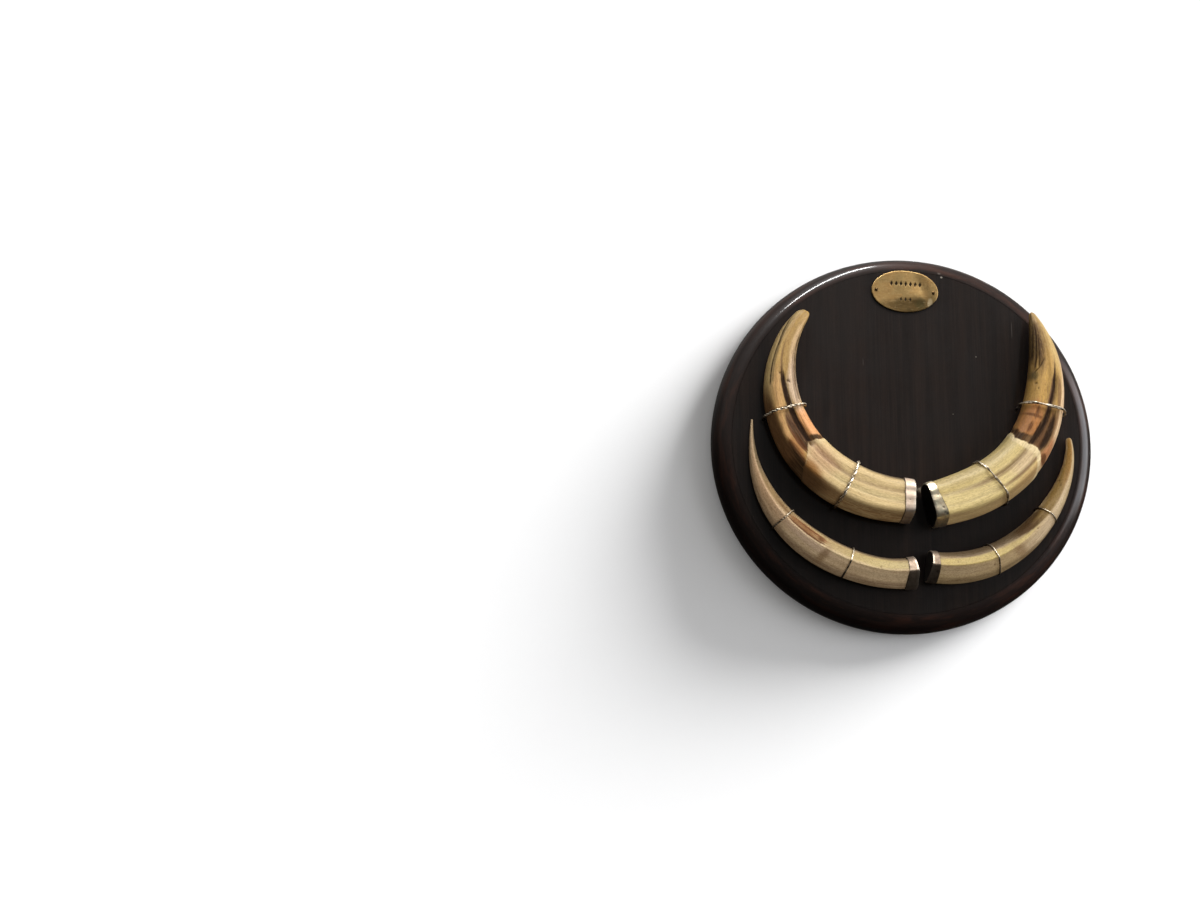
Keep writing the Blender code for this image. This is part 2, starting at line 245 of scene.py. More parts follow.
# %% Write down the tusks
class Binding(NamedTuple):
    """One wire binding. The skew is how much further along it lies on the outer side."""

    along: float
    skew: float
    strands: int
    strand_diameter: float
    lay: float  # length of one full twist


class Tusk(NamedTuple):
    kind: str
    root: tuple
    length: float
    headings: tuple
    widths: tuple
    thickness: float  # as a share of the width
    tip_lift: float
    tip_skew: float  # how far the point lies towards the hollow side
    collar: tuple  # length of the silver cap on the hollow and on the outer side
    bindings: tuple


TUSKS = {
    "upper_left": Tusk(
        "upper", (-1.5, -53.5), 228, (176, 150.5, 117, 83.5, 45), (34.5, 37.5, 34.5, 25.5, 10.5),
        0.80, 4.0, 0.5, (8.5, 7.0), (Binding(54, 0, 2, 1.5, 13), Binding(135, 0, 2, 1.3, 8)),
    ),
    "upper_right": Tusk(
        "upper", (14.0, -57.0), 219.5, (13.5, 31, 63, 90.5, 101.5), (35.5, 40, 38, 30, 5),
        0.80, 4.0, 0.0, (5.5, 9.0), (Binding(54, 5, 2, 1.1, 30), Binding(133, 0, 2, 1.25, 42)),
    ),
    "lower_left": Tusk(
        "lower", (0.5, -111.5), 208, (187, 160, 137, 109, 85), (25.5, 25, 23, 12.6, 1.8),
        0.92, 2.0, 0.0, (6.5, 8.0), (Binding(55, 0, 1, 1.4, 1), Binding(118.5, 0, 2, 0.8, 5)),
    ),
    "lower_right": Tusk(
        "lower", (13.0, -106.5), 183.5, (-7, 17.5, 43, 64, 97), (25, 25.5, 21.5, 13.8, 4.5),
        0.92, 2.0, 0.0, (5.0, 6.5), (Binding(54, 0, 1, 1.2, 1), Binding(113.5, 0, 1, 1.2, 1)),
    ),
}
FACE_HEIGHT = -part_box("board")[0].y / MM
GAP = 0.3  # between neighbouring pieces, in mm
CAP_SEAT, SEAT_ENDS = 1.2, (8, 16)  # a root stands off the board for its cap, and comes down after it
TIP_LIFTS = (0.55, 1.0)  # shares of the length where the tip leaves the board
CENTRE_LINE_STEPS = 60

# Sections as (across, off), once round from the hollow side's back edge, over the front.
SECTIONS = {
    "upper": (
        (
            (-0.62, 0.04), (-0.93, 0.22), (-1.00, 0.50), (-0.90, 0.76), (-0.62, 0.93),
            (-0.36, 0.92), (-0.13, 0.965), (0.12, 0.955), (0.36, 0.975), (0.58, 0.94),
            (0.76, 0.76), (1.00, 0.32), (0.80, 0.07), (0.10, 0.00),
        ),
        (
            (-0.62, 0.09), (-0.92, 0.28), (-1.00, 0.52), (-0.88, 0.76), (-0.52, 0.95),
            (-0.10, 0.95), (0.10, 1.00), (0.28, 0.99), (0.44, 0.96), (0.62, 0.88),
            (0.86, 0.68), (1.00, 0.42), (0.80, 0.14), (0.10, 0.00),
        ),
    ),
    "lower": (
        (
            (-0.72, 0.05), (-1.00, 0.32), (-0.76, 0.78), (-0.18, 0.97), (0.02, 0.97),
            (0.50, 0.70), (0.92, 0.38), (0.98, 0.20), (0.62, 0.02),
        ),
        (
            (-0.66, 0.10), (-1.00, 0.42), (-0.66, 0.80), (-0.18, 0.98), (0.10, 0.99),
            (0.55, 0.82), (0.93, 0.52), (0.98, 0.30), (0.60, 0.05),
        ),
    ),
}
WIRE_ENDS = {"upper": (1.0, 11.5), "lower": (0.5, 7.5)}  # where along a section a binding turns down
SECTION_CHANGE = (0.35, 0.95)  # shares of the length where the root's section becomes the tip's
print("longest tusk:", max(tusk.length for tusk in TUSKS.values()), "mm along its centre line")


# %% Turn the measures into rings of points
def ease(start, end, value):
    """0 before start, 1 after end, and a smooth S between them."""
    share = np.clip((value - start) / (end - start), 0, 1)
    return share * share * (3 - 2 * share)


def closed_curve(points, steps):
    """A smooth closed curve through the points, with that many steps between two of them."""
    p = np.array(points)
    before, after, beyond = np.roll(p, 1, 0), np.roll(p, -1, 0), np.roll(p, -2, 0)
    rows = []
    for k in range(steps):
        s = k / steps
        rows.append(
            p
            + 0.5 * s * (after - before)
            + 0.5 * s**2 * (2 * before - 5 * p + 4 * after - beyond)
            + 0.5 * s**3 * (3 * p - before - 3 * after + beyond)
        )
    return np.stack(rows, axis=1).reshape(-1, 2)


def through_stations(values, share):
    """The smooth curve through five values at even stations, read at shares of the length."""
    return np.polyval(np.polyfit(np.linspace(0, 1, 5), values, 4), share)


def centre_line(tusk, along):
    """Point of the centre line and its heading in radians."""
    share = max(along, 0) / tusk.length
    steps = (np.arange(CENTRE_LINE_STEPS) + 0.5) / CENTRE_LINE_STEPS
    angles = np.radians(through_stations(tusk.headings, share * steps))
    walked = along * np.array((np.cos(angles).mean(), np.sin(angles).mean()))
    return np.array(tusk.root) + walked, math.radians(through_stations(tusk.headings, share))


def normals_of(ring):
    edge = np.roll(ring, -1, 0) - np.roll(ring, 1, 0)
    return np.stack((-edge[:, 1], edge[:, 0]), 1) / np.linalg.norm(edge, axis=1)[:, None]


def drawn_tight(ring):
    """The ring with its hollows bridged, as a taut wire lies over flutes."""
    for reach in 4 * (16, 8, 4, 2, 1):
        chord = (np.roll(ring, reach, 0) + np.roll(ring, -reach, 0)) / 2
        outward = normals_of(ring)
        ring = ring + outward * np.maximum(((chord - ring) * outward).sum(1), 0)[:, None]
    return ring


def section_ring(tusk, along, fullness=1.0, outset=0.0, steps=4, tightness=0.0):
    """One ring in mm, and for each of its points (along, across, off) and the straightened place."""
    share = max(along, 0) / tusk.length
    width = float(through_stations(tusk.widths, share))
    first, last = (closed_curve(section, steps) for section in SECTIONS[tusk.kind])
    change = ease(*SECTION_CHANGE, share)
    shape = first * (1 - change) + last * change
    scale = np.array((width / 2, width * tusk.thickness)) * fullness
    flat = (shape - (0, 0.5)) * scale
    if outset:
        flat = flat + outset * normals_of(flat)
    flat = flat + tightness * (drawn_tight(flat) - flat)
    seat = CAP_SEAT + (GAP - CAP_SEAT) * ease(*SEAT_ENDS, along)
    lift = seat + tusk.tip_lift * ease(*TIP_LIFTS, share)
    middle = FACE_HEIGHT + lift + width * tusk.thickness / 2
    centre, heading = centre_line(tusk, along)
    bend = math.copysign(1, tusk.headings[-1] - tusk.headings[0])
    outer_side = bend * np.array((math.sin(heading), -math.cos(heading)))
    slip = -tusk.tip_skew * (1 - fullness) * width / 2
    plan = centre + (flat[:, :1] + slip) * outer_side
    points = np.stack((plan[:, 0], -(middle + flat[:, 1]), plan[:, 1]), 1)
    station = np.column_stack((np.full(len(shape), along), shape))
    straight = np.column_stack((np.full(len(shape), along), flat))
    return points, station, straight


# %% [markdown]
# ## Grooves, the gum line and pits
# A warthog's upper tusk is fluted. Where it stood in the gum, cement covers it and is still pale;
# past the gum line the flutes hold years of dirt. The step at that line, the flutes and the pits are
# real relief, so they are carved into the mesh. The same measures later tell the material where the
# dirt lies. Each groove is a path of (along, across) points with a width and a depth in mm.


# %% Write down the relief
class Groove(NamedTuple):
    path: tuple
    width: float
    depth: float
    dirt: float = 0.0  # how dark it is


class Relief(NamedTuple):
    gum_line: tuple  # (across, along) points
    step: float
    grooves: tuple
    pits: tuple  # (along, across, radius, depth)


RELIEF = {
    "upper_left": Relief(
        ((-1.0, 96), (-0.6, 98), (-0.19, 102), (-0.02, 99), (0.19, 94), (0.74, 88), (1.0, 82)),
        0.5,
        (
            Groove(((0, -0.29), (50, -0.25), (90, -0.27), (100, -0.25)), 1.7, 0.5, 0.50),
            Groove(((4, 0.18), (40, 0.15), (70, 0.17), (97, 0.12)), 1.0, 0.22, 0.22),
            Groove(((2, 0.72), (50, 0.71), (90, 0.70)), 1.8, 0.35, 0.40),
            Groove(((0, -0.64), (60, -0.67), (92, -0.62)), 1.2, 0.12, 0.05),
            Groove(((97, -0.22), (108, -0.24), (125, -0.20), (150, -0.10), (170, 0.04)), 2.2, 1.4, 1.0),
            Groove(((98, 0.14), (113, 0.12), (132, 0.22)), 1.3, 0.4, 0.5),
            Groove(((98, 0.02), (112, -0.01), (126, 0.06)), 1.2, 0.4, 0.5),
            Groove(((156, 0.72), (165, 0.71), (191, 0.66), (208, 0.84), (220, 1.0)), 0.6, 0.5, 1.0),
            Groove(((158, 0.60), (185, 0.57), (218, 0.72)), 0.8, 0.35, 0.5),
            Groove(((120, 0.62), (150, 0.52), (178, 0.36)), 2.4, 0.45, 0.1),
            Groove(((158, -0.04), (176, 0.06), (196, 0.20)), 1.8, 0.35, 0.12),
            Groove(((138, -0.66), (160, -0.70), (196, -0.72)), 1.2, 0.4, 0.5),
            Groove(((140, -0.84), (170, -0.88), (208, -0.86)), 1.2, 0.4, 0.5),
        ),
        (
            (165, 0.14, 1.0, 0.8), (163.6, 0.04, 0.8, 0.5),
            (158.5, -0.33, 1.2, 0.9), (157.6, -0.42, 0.8, 0.5),
        ),
    ),
    "upper_right": Relief(
        ((-1.0, 100), (-0.8, 94), (-0.32, 96), (0.17, 97), (0.5, 93), (0.74, 89), (1.0, 84)),
        0.8,
        (
            Groove(((0, -0.25), (48, -0.20), (75, -0.16), (96, -0.14)), 2.0, 0.5, 0.34),
            Groove(((6, 0.28), (50, 0.30), (94, 0.33)), 1.2, 0.28, 0.20),
            Groove(((4, 0.71), (50, 0.72), (90, 0.71)), 1.8, 0.35, 0.30),
            Groove(((8, -0.56), (50, -0.46), (90, -0.48)), 1.4, 0.12, 0.06),
            Groove(((8, -0.80), (50, -0.84), (90, -0.86)), 1.2, 0.15, 0.1),
            Groove(
                ((97, -0.14), (110, -0.07), (120, -0.03), (131, 0.02), (145, 0.13), (166, 0.26)),
                2.6, 1.4, 0.9,
            ),
            Groove(((98, 0.26), (112, 0.32), (133, 0.34)), 2.0, 0.7, 0.85),
            Groove(((163, 0.24), (186, 0.40), (204, 0.60)), 1.8, 0.4, 0.05),
            Groove(((165, -0.85), (176, -0.74), (186, -0.69), (206, -0.46), (213, -0.4)), 0.8, 0.5, 0.95),
            Groove(((163, -0.84), (169, -0.50), (177, -0.12)), 0.8, 0.5, 0.9),
            Groove(((168, -0.62), (186, -0.50), (202, -0.26)), 0.8, 0.45, 0.8),
            Groove(((176, -0.94), (196, -0.86), (210, -0.7)), 0.8, 0.4, 0.8),
        ),
        ((152.7, -0.73, 1.0, 0.6), (148, -0.6, 0.7, 0.3)),
    ),
    "lower_left": Relief(
        ((-1.0, 300), (1.0, 300)), 0.0,
        (
            Groove(((0, 0.06), (60, 0.02), (84, -0.02)), 1.2, 0.2, 0.2),
            Groove(((82, -0.16), (96, -0.24), (122, -0.34)), 2.6, 0.6, 0.35),
            Groove(((120, -0.45), (150, -0.52), (190, -0.60)), 1.6, 0.3, 0.1),
            Groove(((4, 0.34), (60, 0.36), (130, 0.42)), 2.8, 0.3, 0.0),
        ),
        ((171, -0.41, 0.8, 0.4), (166, -0.44, 0.7, 0.3), (174, -0.38, 0.7, 0.3), (30, -0.2, 0.7, 0.3)),
    ),
    "lower_right": Relief(
        ((-1.0, 300), (1.0, 300)), 0.0,
        (
            Groove(((0, 0.06), (50, 0.04), (90, 0.02)), 1.2, 0.2, 0.15),
            Groove(((4, 0.34), (60, 0.36), (120, 0.42)), 2.8, 0.3, 0.0),
            Groove(((60, -0.55), (90, -0.60), (112, -0.55)), 2.6, 0.4, 0.1),
        ),
        ((50, 0.35, 0.7, 0.35), (96, -0.1, 0.7, 0.35), (144, -0.80, 0.8, 0.3), (140, -0.5, 0.7, 0.3)),
    ),
}
UNDULATION = 0.22  # slow swell of the whole surface, in mm
FINE_RIDGES = 0.07  # thread-like lines along the tusk
FRONT = 0.3  # `off` above which a tusk is carved
GROOVE_FADE = 12.0  # longest run-out of a groove, in mm
print("grooves:", sum(len(relief.grooves) for relief in RELIEF.values()))


# %% Carve by formula
def mesh_array(data, field, width=1):
    """One value or vector for every vertex, as an array."""
    flat = np.empty(len(data) * width, np.float32)
    data.foreach_get(field, flat)
    return flat.reshape(-1, width) if width > 1 else flat


def set_attribute(mesh, name, values):
    kind = "FLOAT_VECTOR" if values.ndim == 2 else "FLOAT"
    layer = mesh.attributes.get(name) or mesh.attributes.new(name, kind, "POINT")
    layer.data.foreach_set("vector" if values.ndim == 2 else "value", values.astype(np.float32).ravel())


def rough(points, size, seed=0):
    """Smooth noise from -1 to 1 at points in mm, with features about as large as size."""
    sizes = np.broadcast_to(np.array(size, float), 3)
    shift = np.array((seed * 17.3, seed * 5.1, -seed * 9.7))
    return np.array([noise.noise(Vector(p)) for p in points / sizes + shift])


def push(piece, distance):
    """Moves every vertex outwards along its normal, by its own distance in mm."""
    mesh = piece.data
    places = mesh_array(mesh.vertices, "co", 3)
    normals = mesh_array(mesh.vertices, "normal", 3)
    places += normals * (np.asarray(distance)[:, None] * MM)
    mesh.vertices.foreach_set("co", places.ravel())
    mesh.update()


def groove_share(groove, station, half_width):
    """1 on the groove's bottom line, falling smoothly to 0 at its sides and ends."""
    along, across = np.array(groove.path).T
    middle = np.interp(station[:, 0], along, across)
    aside = (station[:, 1] - middle) * half_width / groove.width
    fade = min(GROOVE_FADE, (along[-1] - along[0]) / 3)
    inside = ease(along[0] - 2, along[0] + 2, station[:, 0])
    inside *= 1 - ease(along[-1] - fade, along[-1], station[:, 0])
    return np.exp(-(aside**2)) * inside * (station[:, 2] > FRONT)


def pit_share(station, half_width, along, across, radius, lowest=FRONT):
    """1 in the middle of a pit, falling smoothly to 0 at its sides."""
    away = np.hypot(station[:, 0] - along, (station[:, 1] - across) * half_width)
    return np.exp(-((away / radius) ** 2)) * (station[:, 2] > lowest)


def carve_tusk(piece, name, seed):
    mesh, tusk, relief = piece.data, TUSKS[name], RELIEF[name]
    station = mesh_array(mesh.attributes["station"].data, "vector", 3)
    straight = mesh_array(mesh.attributes["straight"].data, "vector", 3)
    half_width = through_stations(tusk.widths, station[:, 0] / tusk.length) / 2
    gum_across, gum_along = np.array(relief.gum_line).T
    ragged = 1.2 * rough(straight, (9, 5, 5), seed) + 0.6 * rough(straight, (3, 1.6, 1.6), seed + 1)
    past_gum = station[:, 0] - np.interp(station[:, 1], gum_across, gum_along) + ragged
    height = UNDULATION * rough(straight, (26, 9, 9), seed + 2)
    height += FINE_RIDGES * rough(straight, (60, 1.6, 1.6), seed + 3)
    height += 0.5 * FINE_RIDGES * rough(straight, (14, 2.4, 2.4), seed + 4)
    height -= relief.step * ease(-0.5, 0.7, past_gum)
    dirt = np.zeros(len(station))
    for groove in relief.grooves:
        share = groove_share(groove, station, half_width)
        height -= groove.depth * share
        dirt = np.maximum(dirt, groove.dirt * share)
    for along, across, radius, depth in relief.pits:
        share = pit_share(station, half_width, along, across, radius)
        height -= depth * share
        dirt = np.maximum(dirt, share)
    push(piece, height)
    set_attribute(mesh, "past_gum", past_gum)
    set_attribute(mesh, "dirt", dirt)


# %% [markdown]
# ## Shader building blocks
# A material is a small network of nodes. These helpers place a node, join it up and hand back its
# output as a value that can be added and multiplied, so that a finish reads like a recipe. Effects
# that several finishes share are node groups: long streaks (ivory and wood), soft stains and
# hairlines (ivory, wood and brass). A group is built once and placed with different values.


# %% Node helpers
MIX_FIRST, MIX_SECOND, MIX_RESULT = 6, 7, 2  # the colour sockets of a mix node


class Value:
    """The output of a node. Arithmetic on it adds math nodes."""

    def __init__(self, recipe, socket):
        self.recipe, self.socket = recipe, socket

    def __add__(self, other):
        return self.recipe.math("ADD", self, other)

    def __sub__(self, other):
        return self.recipe.math("SUBTRACT", self, other)

    def __rsub__(self, other):
        return self.recipe.math("SUBTRACT", other, self)

    def __mul__(self, other):
        return self.recipe.math("MULTIPLY", self, other)

    def __truediv__(self, other):
        return self.recipe.math("DIVIDE", self, other)

    def __rtruediv__(self, other):
        return self.recipe.math("DIVIDE", other, self)

    __radd__, __rmul__ = __add__, __mul__


class Recipe:
    """Builds one node tree. A number, a colour, a vector or a Value can go into an input."""

    def __init__(self, tree):
        self.tree = tree

    def feed(self, socket, value):
        if isinstance(value, Value):
            self.tree.links.new(value.socket, socket)
        else:
            socket.default_value = (*value, 1.0) if socket.type == "RGBA" else value

    def fill(self, node, **values):
        """Feeds a node's inputs by name, with _ for a space."""
        for name, value in values.items():
            self.feed(node.inputs[name.replace("_", " ")], value)
        return node

    def node(self, kind, *inputs, **settings):
        """Adds a node, sets it and feeds its first inputs."""
        node = self.tree.nodes.new("ShaderNode" + kind)
        for key, value in settings.items():
            setattr(node, key, value)
        for socket, value in zip(node.inputs, inputs):
            self.feed(socket, value)
        return node

    def value(self, node, output=0):
        return Value(self, node.outputs[output])

    def math(self, operation, *values):
        return self.value(self.node("Math", *values, operation=operation))

    def scaled(self, vector, scale):
        return self.value(self.node("VectorMath", vector, scale, operation="MULTIPLY"))

    def moved(self, vector, by):
        return self.value(self.node("VectorMath", vector, by, operation="ADD"))

    def vector(self, *parts):
        return self.value(self.node("CombineXYZ", *parts))

    def split(self, vector):
        node = self.node("SeparateXYZ", vector)
        return [self.value(node, axis) for axis in range(3)]

    def fit(self, value, *ranges):
        """Maps a range (low, high) smoothly on to 0 to 1, or on to a second range, and clamps it."""
        return self.value(self.node("MapRange", value, *ranges, interpolation_type="SMOOTHSTEP"))

    def noise(self, vector, scale, detail=3.0, roughness=0.55, output="Fac"):
        node = self.node("TexNoise")
        self.fill(node, Vector=vector, Scale=scale, Detail=detail, Roughness=roughness)
        return self.value(node, output)

    def cells(self, vector, scale, feature="F1"):
        node = self.node("TexVoronoi", feature=feature)
        return self.value(self.fill(node, Vector=vector, Scale=scale), "Distance")

    def mix(self, share, first, second, blend="MIX"):
        node = self.node("Mix", share, data_type="RGBA", blend_type=blend)
        self.feed(node.inputs[MIX_FIRST], first)
        self.feed(node.inputs[MIX_SECOND], second)
        return self.value(node, MIX_RESULT)

    def attribute(self, name, output="Fac"):
        return self.value(self.node("Attribute", attribute_name=name), output)

    def millimetres(self):
        """The place on the object, in mm."""
        place = self.value(self.node("TexCoord"), "Object")
        return self.scaled(place, (1 / MM, 1 / MM, 1 / MM))

    def bump(self, height, depth):
        """A bump whose full height is depth, in mm."""
        return self.value(self.fill(self.node("Bump"), Height=height, Distance=depth * MM))

    def effect(self, group, *inputs):
        """Places a shared effect, its inputs given in the group's own order."""
        return self.value(self.node("Group", *inputs, node_tree=group))


def new_group(name, output, **inputs):
    """A node group with one value out. Each input has its starting value, or None for a vector."""
    tree = bpy.data.node_groups.new(name, "ShaderNodeTree")
    for label, value in inputs.items():
        kind = "NodeSocketVector" if value is None else "NodeSocketFloat"
        socket = tree.interface.new_socket(label.replace("_", " "), in_out="INPUT", socket_type=kind)
        if value is not None:
            socket.default_value = value
    tree.interface.new_socket(output, in_out="OUTPUT", socket_type="NodeSocketFloat")
    r = Recipe(tree)
    entry, leave = tree.nodes.new("NodeGroupInput"), tree.nodes.new("NodeGroupOutput")
    return r, [r.value(entry, index) for index in range(len(inputs))], leave.inputs[0]


def new_finish(name, **constants):
    """A material with plain values on its shader, the recipe for the rest of it, and the shader."""
    made = bpy.data.materials.new(name)
    made.use_nodes = True
    r, shader = Recipe(made.node_tree), made.node_tree.nodes["Principled BSDF"]
    r.fill(shader, **constants)
    return made, r, shader


# %% Shared effects
def make_streaks():
    """Long soft lines that run with the first axis of the vector."""
    r, (vector, length, width, low, high), out = new_group(
        "long streaks", "Streaks", Vector=None, Length=40.0, Width=1.0, Low=0.35, High=0.65
    )
    place = r.scaled(vector, r.vector(1 / length, 1 / width, 1 / width))
    r.feed(out, r.fit(r.noise(place, 1.0, detail=4.0, roughness=0.6), low, high))
    return r.tree


def make_stain():
    """A soft-edged patch about a point of the first two axes. The lean slants it, the wander frays it."""
    r, (vector, wander, along, across, length, width, lean, fray, softness), out = new_group(
        "soft stain", "Stain", Vector=None, Wander=0.5, Along=0.0, Across=0.0, Half_length=1.0,
        Half_width=1.0, Lean=0.0, Fray=0.8, Softness=0.4,
    )
    x, y, _ = r.split(vector)
    ahead = x - along
    aside = (y - across - ahead * lean) / width
    ahead = ahead / length
    away = r.math("SQRT", ahead * ahead + aside * aside) + (wander - 0.5) * fray
    r.feed(out, r.fit(away, 1.0 + softness, 1.0 - softness))
    return r.tree


def make_hairlines():
    """Thin lines that run with the first axis: drying cracks in ivory, open pores in wood, scratches."""
    r, (vector, length, width, fineness), out = new_group(
        "hairlines", "Hairlines", Vector=None, Length=30.0, Width=2.0, Fineness=0.04
    )
    place = r.scaled(vector, r.vector(1 / length, 1 / width, 1 / width))
    sway = r.noise(place, 1.5, detail=2.0, roughness=0.5, output="Color")
    edge = r.cells(r.moved(place, r.scaled(sway, (0.6, 0.6, 0.6))), 1.0, "DISTANCE_TO_EDGE")
    broken = r.fit(r.noise(place, 2.3), 0.42, 0.58)
    r.feed(out, r.fit(edge, fineness, 0.0) * broken)
    return r.tree


STREAKS, STAIN, HAIRLINES = make_streaks(), make_stain(), make_hairlines()
print("shared effects:", [tree.name for tree in (STREAKS, STAIN, HAIRLINES)])

# %% [markdown]
# ## Old ivory
# Each tusk aged in its own way, so each gets colours of its own from one recipe. A pale body is
# varied by broad soft streaks and a fine mottle. Past the gum line of an upper tusk it turns to tan.
# Named stains lie where the real ones do, given by their place along and across the tusk, and a stain
# on one side of the gum line never crosses it. A few are painted light and shade: a grey one on the
# upper edge of each lower tusk is painted shadow from the tusk above, and a pale one on the outer
# flank of the upper right tusk is painted light from the right. The outer flank colour is part stain
# and part painted shade. The carved grooves bring their dirt with them through the `dirt` attribute,
# and a few hairline cracks finish it. Dark stains are dry, so they shine less.


# %% Write down the colours
class Body(NamedTuple):
    """Plain colours: pale, deep and on the outer flank. The flank colour is partly painted shade, and on
    the upper right tusk past the gum line it is painted light.
    """

    pale: tuple
    deep: tuple
    flank: tuple


class Stain(NamedTuple):
    tint: tuple
    along: float
    across: float
    half_length: float
    half_width: float
    strength: float = 1.0
    softness: float = 0.4
    streaky: float = 0.0  # 1 breaks the stain up into lines along the tusk
    lean: float = 0.0
    from_gum: bool = False  # whether `along` is counted from the gum line


BODIES = {  # near the root, and past the gum line
    "upper_left": (
        Body((0.74, 0.56, 0.29), (0.60, 0.44, 0.20), (0.18, 0.10, 0.04)),
        Body((0.50, 0.32, 0.10), (0.36, 0.22, 0.055), (0.14, 0.055, 0.02)),
    ),
    "upper_right": (
        Body((0.72, 0.57, 0.25), (0.57, 0.43, 0.16), (0.40, 0.27, 0.13)),
        # past the gum line the outer flank is lighter than the body: painted light from the right
        Body((0.56, 0.34, 0.09), (0.42, 0.24, 0.055), (0.72, 0.50, 0.28)),
    ),
    "lower_left": 2 * (Body((0.66, 0.49, 0.30), (0.49, 0.35, 0.20), (0.23, 0.155, 0.090)),),
    "lower_right": 2 * (Body((0.54, 0.39, 0.21), (0.38, 0.28, 0.14), (0.20, 0.140, 0.070)),),
}
SLEEVE = (0.72, 0.58, 0.32)  # the pale cement just short of the gum line
CREAM = (0.66, 0.53, 0.27)
PALE = (0.66, 0.47, 0.19)
GOLD = (0.33, 0.20, 0.055)
ORANGE = (0.42, 0.18, 0.05)
PEACH = (0.86, 0.41, 0.17)
BROWN = (0.20, 0.11, 0.045)
RED_BROWN = (0.12, 0.040, 0.014)
PLUM = (0.15, 0.075, 0.050)
SOOT = (0.012, 0.006, 0.004)
PINK = (0.68, 0.50, 0.34)
# grey stain; on the upper edge of the lower tusks it is painted shadow cast by the tusks above
GREY_STAIN_AND_SHADE = (0.13, 0.095, 0.055)
THREAD = (0.25, 0.14, 0.06)
FLAW = (0.14, 0.085, 0.045)
SPECKLE = (0.55, 0.48, 0.40)
ROOT_DIRT, TIP_DIRT = (0.10, 0.055, 0.022), (0.022, 0.011, 0.006)
GUM = 86  # stains further along than this lie past the gum line
DARK_PIGMENT = 0.3  # red of the palest stain that counts as a dark one
STAIN_FRAY = 0.8

